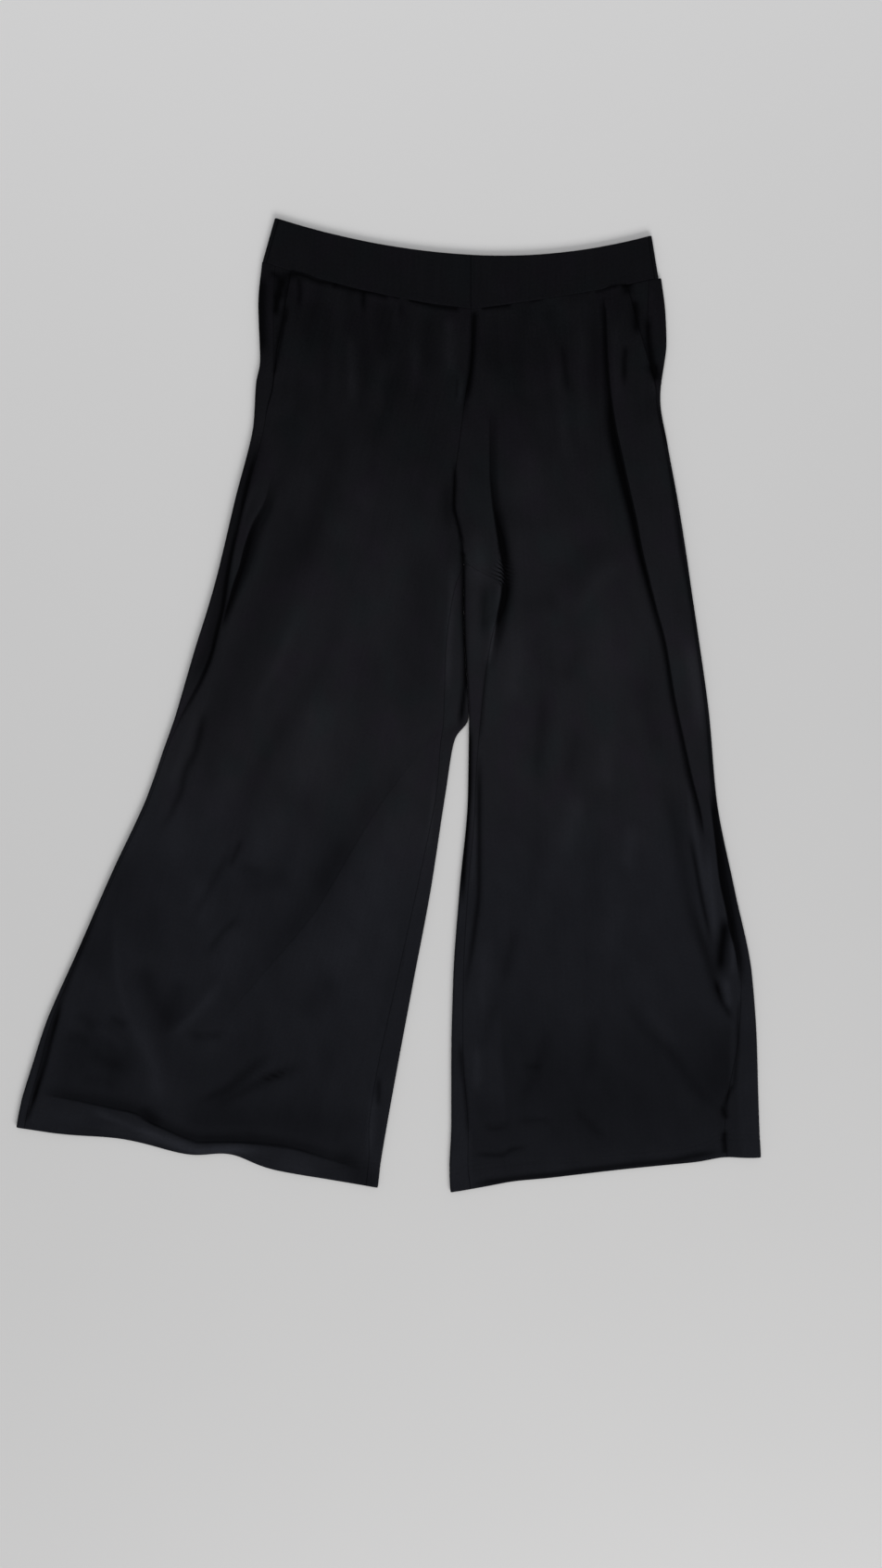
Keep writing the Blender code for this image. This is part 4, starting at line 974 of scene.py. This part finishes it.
def band_line(half, down, share):
    """Places along one half of the waistband, from its side to its centre."""
    ends = []
    for corner in (half, "centre"):
        top, foot = np.array(BAND_TOP[corner]), np.array(BAND_FOOT[corner])
        ends.append(top + down[..., None] * (foot - top))
    line = ends[0] + share[..., None] * (ends[1] - ends[0])
    bow = BAND_TOP_BOW[half] + down * (BAND_FOOT_BOW[half] - BAND_TOP_BOW[half])
    line[..., 1] -= bow * arch(share)
    return line


def band_width(half, down):
    """Half of the waistband from its side to its centre, seen from above."""
    ends = band_line(half, down, np.array([0.0, 1.0])[None, :] + 0 * down)
    return np.hypot(*(ends[:, 1] - ends[:, 0]).T)[:, None]


def band_reach(half, down):
    """The distance round the ring from the side fold to the centre."""
    return band_width(half, down[:, None]) - BAND_CLOTH / 2 - BAND_ROLL + BAND_TURN


def band_ripple(line, down):
    """The elastic draws the band into shallow uneven ripples, least at its two long edges."""
    x = line[..., 0]
    fine = np.sin(x / FINE_RIPPLE_RUN + RIPPLE_WANDER * np.sin(x / RIPPLE_WANDER_RUN))
    broad = np.sin(x / BROAD_RIPPLE_RUN + BROAD_RIPPLE_SLANT * down)
    grown = np.sin(np.clip(down, 0, 1) * math.pi) ** RIPPLE_FULLNESS
    return (FINE_RIPPLE * fine + BROAD_RIPPLE * broad) * grown


def band_ring(half, down, round_at):
    """Points of one half of the waistband's middle. round_at: from the side fold, negative below."""
    down = down[:, None]
    angle = np.clip(np.abs(round_at) / BAND_ROLL, 0, math.pi / 2)
    flat = np.maximum(np.abs(round_at) - BAND_TURN, 0)
    across = BAND_CLOTH / 2 + BAND_ROLL * (1 - np.cos(angle)) + flat
    line = band_line(half, down + 0 * round_at, across / band_width(half, down))
    z = BAND_CLOTH / 2 + BAND_ROLL * (1 + np.sign(round_at) * np.sin(angle))
    z = z + (round_at > BAND_TURN) * ease(flat / RIPPLE_GROWS) * band_ripple(line, down)
    return np.concatenate([line, z[..., None]], axis=-1)


def band_cloth(points, turn):
    cut = points[..., :2] * MM
    size = points.shape[:2]
    return cloth_of(points, cut, np.full(size, BAND_CLOTH), turn, np.zeros(size))


def band_down():
    """Shares of the way down the waistband, for its rows."""
    height = math.dist(BAND_TOP["centre"], BAND_FOOT["centre"])
    return spread(height, height / BAND_ROWS) / height


def band_front(half):
    down = band_down()
    start = np.full((len(down), 1), BAND_SEAM + SEAM_GAP)
    end = band_reach(half, down) - SEAM_GAP / 2
    points = band_ring(half, down, between(start, end, even(BAND_COLUMNS)))
    return band_cloth(points, 1 if half == "right" else -1)


def band_back():
    down = band_down()
    turn = np.linspace(BAND_TURN, -BAND_TURN, BAND_TURN_COLUMNS + 1)
    over_side = np.concatenate([BAND_SEAM - np.array(BAND_SEAM_BORDER), turn])[None, :]
    below = even(BAND_COLUMNS)[:, 1:]
    halves = []
    for half in ("right", "left"):
        under = over_side[:, -1:] - below * (band_reach(half, down) - BAND_TURN)
        round_at = np.concatenate([over_side + 0 * down[:, None], under], axis=1)
        halves.append(band_ring(half, down, round_at))
    right, left = halves
    return band_cloth(np.concatenate([right, left[:, -2::-1]], axis=1), 1)


def quads(i):
    """The faces between a grid's vertices, from their numbers."""
    return np.stack([i[:-1, :-1], i[1:, :-1], i[1:, 1:], i[:-1, 1:]], axis=-1).reshape(-1, 4)


def shell(cloth):
    """A closed thin wall with round edges.

    It comes as vertices, the faces of the right side and of the wrong side, and each vertex's
    place in the cloth's grid. The waistband's wall is centred on the cloth's points. The outer
    side of all other cloth lies off them, where the solid's outer side is.
    """
    off = np.where(cloth.thick < BAND_CLOTH, SURFACE_OFF, cloth.thick / 2)
    radius = cloth.thick / 2
    into = np.clip(cloth.border / radius, 0, 1)
    rounded = radius * np.sqrt(1 - (1 - into) ** 2)
    middle = off - radius
    outer = cloth.points + (middle + rounded)[..., None] * cloth.normal
    inner = cloth.points + (middle - rounded)[..., None] * cloth.normal
    inside = np.s_[1:-1, 1:-1]
    index = np.arange(cloth.border.size).reshape(cloth.border.shape)
    under = index.copy()
    under[inside] = index.size + np.arange(index[inside].size).reshape(index[inside].shape)
    vertices = np.concatenate([outer.reshape(-1, 3), inner[inside].reshape(-1, 3)])
    sources = np.concatenate([index.ravel(), index[inside].ravel()])
    return vertices, quads(index), quads(under)[:, ::-1], sources


def faces_outwards(vertices, faces):
    """True if the mesh's faces point out of it."""
    a, b, c, d = (vertices[faces[:, k]] for k in range(4))
    halves = np.einsum("ij,ij->", a, np.cross(b, c)) + np.einsum("ij,ij->", a, np.cross(c, d))
    return halves > 0


def new_object(name, vertices, faces, materials):
    mesh = bpy.data.meshes.new(name)
    mesh.from_pydata(((vertices - TABLE_MIDDLE) * MM).tolist(), [], faces.tolist())
    mesh.shade_smooth()
    for material in materials:
        mesh.materials.append(material)
    made = bpy.data.objects.new(name, mesh)
    bpy.context.scene.collection.objects.link(made)
    return made


def add_cloth(name, cloth, materials):
    """Links a piece of cloth, with its flat cut as a UV map, its distance from an edge and the shade and
    highlights painted into its colour.
    """
    vertices, right_side, wrong_side, sources = shell(cloth)
    faces = np.concatenate([right_side, wrong_side])
    if not faces_outwards(vertices, faces):
        faces = faces[:, ::-1]
    made = new_object(name, vertices, faces, materials)
    mesh = made.data
    kinds = np.zeros(len(faces), np.int32)
    kinds[len(right_side):] = 1
    mesh.polygons.foreach_set("material_index", kinds)
    corners = np.empty(len(mesh.loops), np.int32)
    mesh.loops.foreach_get("vertex_index", corners)
    cut = cloth.cut.reshape(-1, 2)[sources]
    mesh.uv_layers.new(name="cut").uv.foreach_set("vector", cut[corners].ravel().astype(np.float32))
    for kind, values in (("edge", cloth.border * MM), ("dark", cloth.dark)):
        attribute = mesh.attributes.new(kind, "FLOAT", "POINT")
        attribute.data.foreach_set("value", values.ravel()[sources].astype(np.float32))
    return made


def thread_line(cloth, above):
    """The line on the cloth's outer side that lies that far above the hem, with its normals."""
    outer = cloth.points + SURFACE_OFF * cloth.normal
    hem_first = np.s_[::-1]
    lines = []
    for j in np.flatnonzero(cloth.border[len(cloth.border) // 2] >= STITCH_MARGIN):
        run = cloth.to_end[hem_first, j]
        for grid in (outer, cloth.normal):
            lines.append([np.interp(above, run, grid[hem_first, j, k]) for k in range(3)])
    return np.array(lines[::2]), np.array(lines[1::2])


def stitch_faces():
    """The faces of one stitch: those between its rings and its two ends, which have four sides too."""
    faces = []
    last = STITCH_SIDES * (len(STITCH_RINGS) - 1)
    for first in range(0, last, STITCH_SIDES):
        for k in range(STITCH_SIDES):
            here, there = first + k, first + (k + 1) % STITCH_SIDES
            faces.append((here, there, there + STITCH_SIDES, here + STITCH_SIDES))
    for first, order in ((0, -1), (last, 1)):
        faces.append(list(range(first, first + STITCH_SIDES))[::order])
    return np.array(faces)


def stitches(cloth, above):
    """The thread's visible stitches along a line, each a small capsule lying on the cloth."""
    places, normals = thread_line(cloth, above)
    run = run_of(np.diff(places, axis=0))
    starts = np.arange(STITCH_PITCH, run[-1] - STITCH_PITCH, STITCH_PITCH)
    stations, sizes, humps = STITCH_RINGS.T * np.array([STITCH_LENGTH, THREAD / 2, THREAD / 2])[:, None]
    angle = np.arange(STITCH_SIDES) * 2 * math.pi / STITCH_SIDES
    at = starts[:, None] + stations[None, :]
    centre, up = (
        np.stack([np.interp(at, run, line[:, k]) for k in range(3)], axis=-1) for line in (places, normals)
    )
    way = np.gradient(centre, axis=1)
    way /= np.linalg.norm(way, axis=-1, keepdims=True)
    across = np.cross(way, up)
    centre = centre + up * (humps - STITCH_SINK)[None, :, None]
    ring = across[:, :, None] * np.cos(angle)[None, None, :, None]
    ring = ring + up[:, :, None] * np.sin(angle)[None, None, :, None]
    vertices = (centre[:, :, None] + ring * sizes[None, :, None, None]).reshape(-1, 3)
    one = stitch_faces()
    faces = np.concatenate([one + n * STITCH_SIDES * len(stations) for n in range(len(starts))])
    return vertices, faces


def add_hem_thread(side, panels, material):
    """Both rows of hem stitches of one leg, on its front and its back."""
    vertices, faces, count = [], [], 0
    for cloth in panels:
        for above in STITCH_ROWS:
            more, theirs = stitches(cloth, above)
            vertices.append(more)
            faces.append(theirs + count)
            count += len(more)
    made = new_object(f"hem_stitches_{side}", np.concatenate(vertices), np.concatenate(faces), [material])
    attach(made, BODY)
    return made


WHITE = (1.0, 1.0, 1.0, 1.0)
NOISE_MEAN = 0.5
# The sockets of a node that mixes colours go by number, because several have the same name.
MIX_SHARE, MIX_FIRST, MIX_SECOND, MIX_RESULT = 0, 6, 7, 2


class Wire:
    """A number, vector or colour in a material. Sums and products of wires add Math nodes."""

    def __init__(self, finish, socket):
        self.finish, self.socket = finish, socket

    def math(self, operation, *others):
        return self.finish.add("ShaderNodeMath", {"operation": operation}, dict(enumerate((self, *others))))

    def __add__(self, other):
        return self.math("ADD", other)

    def __radd__(self, other):
        return self.math("ADD", other)

    def __sub__(self, other):
        return self.math("SUBTRACT", other)

    def __rsub__(self, other):
        return self.finish.add("ShaderNodeMath", {"operation": "SUBTRACT"}, {0: other, 1: self})

    def __mul__(self, other):
        return self.math("MULTIPLY", other)

    def __rmul__(self, other):
        return self.math("MULTIPLY", other)

    def wave(self):
        """A smooth wave from -1 to 1, once for each whole number."""
        return (self * (2 * math.pi)).math("SINE")

    def step(self, low, high):
        """0 at low and 1 at high, with a smooth step between. high may be under low."""
        settings = {"interpolation_type": "SMOOTHSTEP"}
        inputs = {"Value": self, "From Min": low, "From Max": high}
        return self.finish.add("ShaderNodeMapRange", settings, inputs)


class Finish:
    """A material and the nodes that make its colour, roughness and relief."""

    def __init__(self, name, shine, sheen=0.0, sheen_roughness=0.5, sheen_tint=WHITE):
        self.material = bpy.data.materials.new(name)
        self.material.use_nodes = True
        self.tree = self.material.node_tree
        self.shader = self.tree.nodes["Principled BSDF"]
        fixed = {
            "Specular IOR Level": shine,
            "Sheen Weight": sheen,
            "Sheen Roughness": sheen_roughness,
            "Sheen Tint": sheen_tint,
        }
        for socket, value in fixed.items():
            self.shader.inputs[socket].default_value = value

    def add(self, kind, settings=None, inputs=None, output=0):
        """Adds a node: its type, its settings, its sockets' values or wires, and the output used."""
        node = self.tree.nodes.new(kind)
        for name, value in (settings or {}).items():
            setattr(node, name, value)
        for socket, value in (inputs or {}).items():
            if isinstance(value, Wire):
                self.tree.links.new(value.socket, node.inputs[socket])
            else:
                node.inputs[socket].default_value = value
        return Wire(self, node.outputs[output])

    def parts(self, vector):
        """A vector's first two parts."""
        return [self.add("ShaderNodeSeparateXYZ", {}, {0: vector}, axis) for axis in ("X", "Y")]

    def cut(self):
        """The flat cut's two measures, across the ribs and along them, in metres."""
        return self.parts(self.add("ShaderNodeUVMap", {"uv_map": "cut"}))

    def stored(self, name):
        """A number that the mesh holds at its points."""
        return self.add("ShaderNodeAttribute", {"attribute_name": name}, {}, "Fac")

    def place(self):
        """The place in the object's own space, in metres."""
        return self.add("ShaderNodeTexCoord", {}, {}, "Object")

    def noise_at(self, place, scale, detail):
        return self.add("ShaderNodeTexNoise", {}, {"Vector": place, "Scale": scale, "Detail": detail}, "Fac")

    def noise(self, across, along, detail=2.0):
        return self.noise_at(self.add("ShaderNodeCombineXYZ", {}, {"X": across, "Y": along}), 1.0, detail)

    def mix(self, share, first, second):
        """The first colour where the share is 0, and the second one where it is 1."""
        inputs = {MIX_SHARE: share, MIX_FIRST: first, MIX_SECOND: second}
        return self.add("ShaderNodeMix", {"data_type": "RGBA"}, inputs, MIX_RESULT)

    def finish(self, colour, roughness, relief):
        """Links the colour, the roughness and a relief in metres to the shader."""
        normal = self.add("ShaderNodeBump", {}, {"Height": relief, "Distance": 1.0}, "Normal")
        for socket, wire in (("Base Color", colour), ("Roughness", roughness), ("Normal", normal)):
            self.tree.links.new(wire.socket, self.shader.inputs[socket])
        return self.material


# The knit, in metres
WALE = 0.00085  # one column of stitches
COURSE = 0.00065  # one row of stitches
STITCH_RELIEF, CREPE_RELIEF, STREAK_RELIEF, PUCKER_RELIEF = 0.000035, 0.00010, 0.00004, 0.0006
PUCKER_FADE = (0.011, 0.001)  # the distances from an edge between which puckers grow
# Waves or patches per metre, across the ribs and along them
STREAKS = (330, 14)
CREPE = (420, 420)
PUCKERS = (150, 150)
BROAD_MOTTLE = (14, 5)
FINE_MOTTLE = (44, 26)
CASTS = (21, 16)
MOTTLE_LEAN = (0.91, 0.42)  # cosine and sine of the angle that the mottling leans at

# The cloth's colours. A tone of 0 is the first, and 2 is one of the others.
DEEP = (0.0011, 0.0011, 0.0015, 1.0)
PALE = (0.0236, 0.0238, 0.0284, 1.0)
VIOLET = (0.0246, 0.0230, 0.0294, 1.0)
TEAL = (0.0224, 0.0248, 0.0288, 1.0)
SLATE = (0.0228, 0.0240, 0.0300, 1.0)
FULL_TONE = 2
SHEEN_TINT = (0.75, 0.78, 0.9, 1.0)
# Tones, and how much each thing adds to them. The runs are places along the leg, in metres. The low tone at
# the waist, rising down the thigh, is painted shade for the light that falls off towards the waist.
WAIST_TONE, THIGH_GAIN, SHIN_LOSS = 0.42, 0.50, 0.16
THIGH_RUN, SHIN_RUN, SLATE_RUN = (0.42, 0.02), (-0.05, -0.42), (-0.08, -0.22)
BROAD_TONE, FINE_TONE, STREAK_TONE, CREPE_TONE = 0.36, 0.26, 0.12, 0.35
VIOLET_FROM, TEAL_FROM = (0.52, 0.66), (0.46, 0.34)  # where in the noise of the casts
EDGE_TONE = 0.7  # at a cut edge, beside 1 elsewhere
EDGE_START, EDGE_END, EDGE_FRAY = 0.0001, 0.0006, 0.0006
ROUGHNESS, ROUGHNESS_SPREAD = 0.84, 0.06


def right_stitches(rib, course):
    """Columns of V-shaped stitches with grooves between them."""
    chevron = (rib.math("FRACT") - 0.5).math("ABSOLUTE")
    return (course + chevron * 2).wave() * 0.6 - rib.wave().math("ABSOLUTE")


def wrong_stitches(rib, course):
    """Rows of short loops."""
    return course.wave() + 0.4 * rib.wave()


def mottling(finish, across, along):
    """Broad and fine patches that lean to one side."""
    cosine, sine = MOTTLE_LEAN
    slant = across * cosine + along * sine
    rise = along * cosine - across * sine
    broad = finish.noise(slant * BROAD_MOTTLE[0], rise * BROAD_MOTTLE[1])
    fine = finish.noise(slant * FINE_MOTTLE[0], rise * FINE_MOTTLE[1], 3.0)
    return (broad - NOISE_MEAN) * BROAD_TONE + (fine - NOISE_MEAN) * FINE_TONE


def cast_colour(finish, across, along):
    """The cloth's full colour: faint casts of violet and teal in patches, and slate down the shins."""
    cast = finish.noise(across * CASTS[0], along * CASTS[1], 1.0)
    hue = finish.mix(cast.step(*VIOLET_FROM), PALE, VIOLET)
    hue = finish.mix(cast.step(*TEAL_FROM), hue, TEAL)
    return finish.mix(along.step(*SLATE_RUN), hue, SLATE)


def knit(name, mottle=1.0, wrong_side=False):
    """Black jersey: ribs of stitches, faint streaks along them, puckers at the seams and faint casts, with
    shade and highlights painted into its colour at folds, creases and turned edges.
    """
    finish = Finish(name, shine=0.02, sheen=0.01, sheen_roughness=0.45, sheen_tint=SHEEN_TINT)
    across, along = finish.cut()
    edge, dark = finish.stored("edge"), finish.stored("dark")
    stitches_of = wrong_stitches if wrong_side else right_stitches
    stitch = stitches_of(across * (1 / WALE), along * (1 / COURSE))
    streak = finish.noise(across * STREAKS[0], along * STREAKS[1])
    crepe = finish.noise(across * CREPE[0], along * CREPE[1], 3.0)
    pucker = finish.noise(across * PUCKERS[0], along * PUCKERS[1]) * edge.step(*PUCKER_FADE)
    relief = stitch * STITCH_RELIEF + crepe * CREPE_RELIEF + streak * STREAK_RELIEF + pucker * PUCKER_RELIEF
    # painted shade: the colour is darker towards the waist, where less light falls, and a little darker
    # again down the shin
    tone = WAIST_TONE + THIGH_GAIN * along.step(*THIGH_RUN) - SHIN_LOSS * along.step(*SHIN_RUN)
    tone = tone + mottling(finish, across, along) * mottle
    tone = tone + (streak - NOISE_MEAN) * STREAK_TONE + (crepe - NOISE_MEAN) * CREPE_TONE
    inside_edge = edge.step(EDGE_START, EDGE_END + crepe * EDGE_FRAY)
    # Painted shade darkens the tone in grooves, creases and turned-under edges, and painted highlight
    # lightens it on ridges.
    tone = tone * (1 - dark) * (EDGE_TONE + (1 - EDGE_TONE) * inside_edge)
    share = (tone * (1 / FULL_TONE)).math("MAXIMUM", 0.0)
    colour = finish.mix(share, DEEP, cast_colour(finish, across, along))
    return finish.finish(colour, ROUGHNESS + (crepe - streak) * ROUGHNESS_SPREAD, relief)


THREAD_PLIES = 2600.0  # noise per metre
THREAD_RELIEF = 0.00008
THREAD_COLOURS = (0.004, 0.004, 0.005, 1.0), (0.010, 0.010, 0.012, 1.0)


def thread_finish():
    """Dull black sewing thread."""
    finish = Finish("sewing_thread", shine=0.1)
    ply = finish.noise_at(finish.place(), THREAD_PLIES, 1.0)
    return finish.finish(finish.mix(ply, *THREAD_COLOURS), 0.6 + ply * 0.2, ply * THREAD_RELIEF)


# The floor's paleness at its middle, and how it changes per metre towards the waist, per metre
# squared, per metre towards the wearer's left and with its grain.
FLOOR_PALENESS, FLOOR_RISE, FLOOR_BEND, FLOOR_TILT, FLOOR_GRAIN = 0.655, 0.201, 0.105, -0.033, 0.01
FLOOR_COLOURS = (0.0, 0.0, 0.0, 1.0), (1.0, 0.99, 0.981, 1.0)
FLOOR_RELIEF = 0.00002


def floor_finish():
    """A plain pale floor, paler away from the window, so that it looks even."""
    finish = Finish("pale_floor", shine=0.1)
    place = finish.place()
    x, y = finish.parts(place)
    grain = finish.noise_at(place, 6.0, 2.0)
    paleness = FLOOR_PALENESS + y * FLOOR_RISE + y * y * FLOOR_BEND + x * FLOOR_TILT + grain * FLOOR_GRAIN
    return finish.finish(finish.mix(paleness, *FLOOR_COLOURS), 0.9 + grain * 0.05, grain * FLOOR_RELIEF)


# The cut of what shows of each panel: its width and length in metres, and its area.
Cut = namedtuple("Cut", "width length area")


def add_panel(node, cloth, materials):
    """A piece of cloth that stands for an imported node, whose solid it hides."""
    made = add_cloth(f"{node}_cloth", cloth, materials)
    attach(made, BODY)
    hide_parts(node)
    return made


def add_trousers():
    """All the pieces, each in its materials for the right and the wrong side."""
    jersey = knit("black_jersey")
    inside = knit("jersey_wrong_side", wrong_side=True)
    band = knit("waistband_jersey", mottle=0.3)
    facing = knit("facing_jersey")
    thread = thread_finish()
    for side in ("right", "left"):
        front, back = front_panel(side), back_panel(side)
        add_panel(f"front_{side}", front, [jersey, inside])
        add_panel(f"back_{side}", back, [jersey, inside])
        add_panel(f"pocket_facing_{side}", pocket_facing(side), [facing, inside])
        add_panel(f"waistband_front_{side}", band_front(side), [band, band])
        add_hem_thread(side, (front, back), thread)
    add_panel("waistband_back", band_back(), [band, band])


CAMERA_CENTRE = (0.0565, -0.085)
CAMERA_HEIGHT = 2.35
LENS = 50.0
SENSOR = 36.0  # with that lens and height, the photograph's 1692 pixels are 1.692 m
FLOOR_HALF = 6.0
FLOOR_DROP = 0.0003  # below the cloth
SKY = (0.95, 0.97, 1.0, 1.0)
SKY_STRENGTH = 0.30


def add_camera():
    made = bpy.data.objects.new("camera", bpy.data.cameras.new("camera"))
    bpy.context.scene.collection.objects.link(made)
    made.data.lens = LENS
    made.data.sensor_width = SENSOR
    made.location = (*CAMERA_CENTRE, CAMERA_HEIGHT)
    bpy.context.scene.camera = made


def add_floor():
    half = FLOOR_HALF
    places = [(-half, -half, 0), (half, -half, 0), (half, half, 0), (-half, half, 0)]
    mesh = bpy.data.meshes.new("floor")
    mesh.from_pydata(places, [], [(0, 1, 2, 3)])
    mesh.materials.append(floor_finish())
    made = bpy.data.objects.new("floor", mesh)
    made.location.z = -FLOOR_DROP
    bpy.context.scene.collection.objects.link(made)


def add_softbox(name, place, aim, size, power):
    """A soft lamp that faces the place it is aimed at. Sizes in metres, power in watts."""
    light = bpy.data.lights.new(name, "AREA")
    light.shape = "RECTANGLE"
    light.size, light.size_y = size
    light.energy = power
    made = bpy.data.objects.new(name, light)
    made.location = place
    made.rotation_euler = (Vector(aim) - Vector(place)).to_track_quat("-Z", "Y").to_euler()
    bpy.context.scene.collection.objects.link(made)


def add_lights():
    world = bpy.data.worlds.new("studio")
    world.use_nodes = True
    background = world.node_tree.nodes["Background"]
    background.inputs["Color"].default_value = SKY
    background.inputs["Strength"].default_value = SKY_STRENGTH
    bpy.context.scene.world = world
    add_softbox("window", place=(0.9, -2.5, 1.9), aim=(0.05, -0.1, 0.0), size=(2.4, 1.4), power=74.0)
    add_softbox("ceiling", place=(-0.5, 0.2, 3.2), aim=(0.0, 0.0, 0.0), size=(2.2, 2.2), power=26.0)
    bpy.context.scene.view_settings.view_transform = "Standard"


add_camera()
add_floor()
add_lights()
add_trousers()


def corners(box):
    return [list(corner) for corner in box]
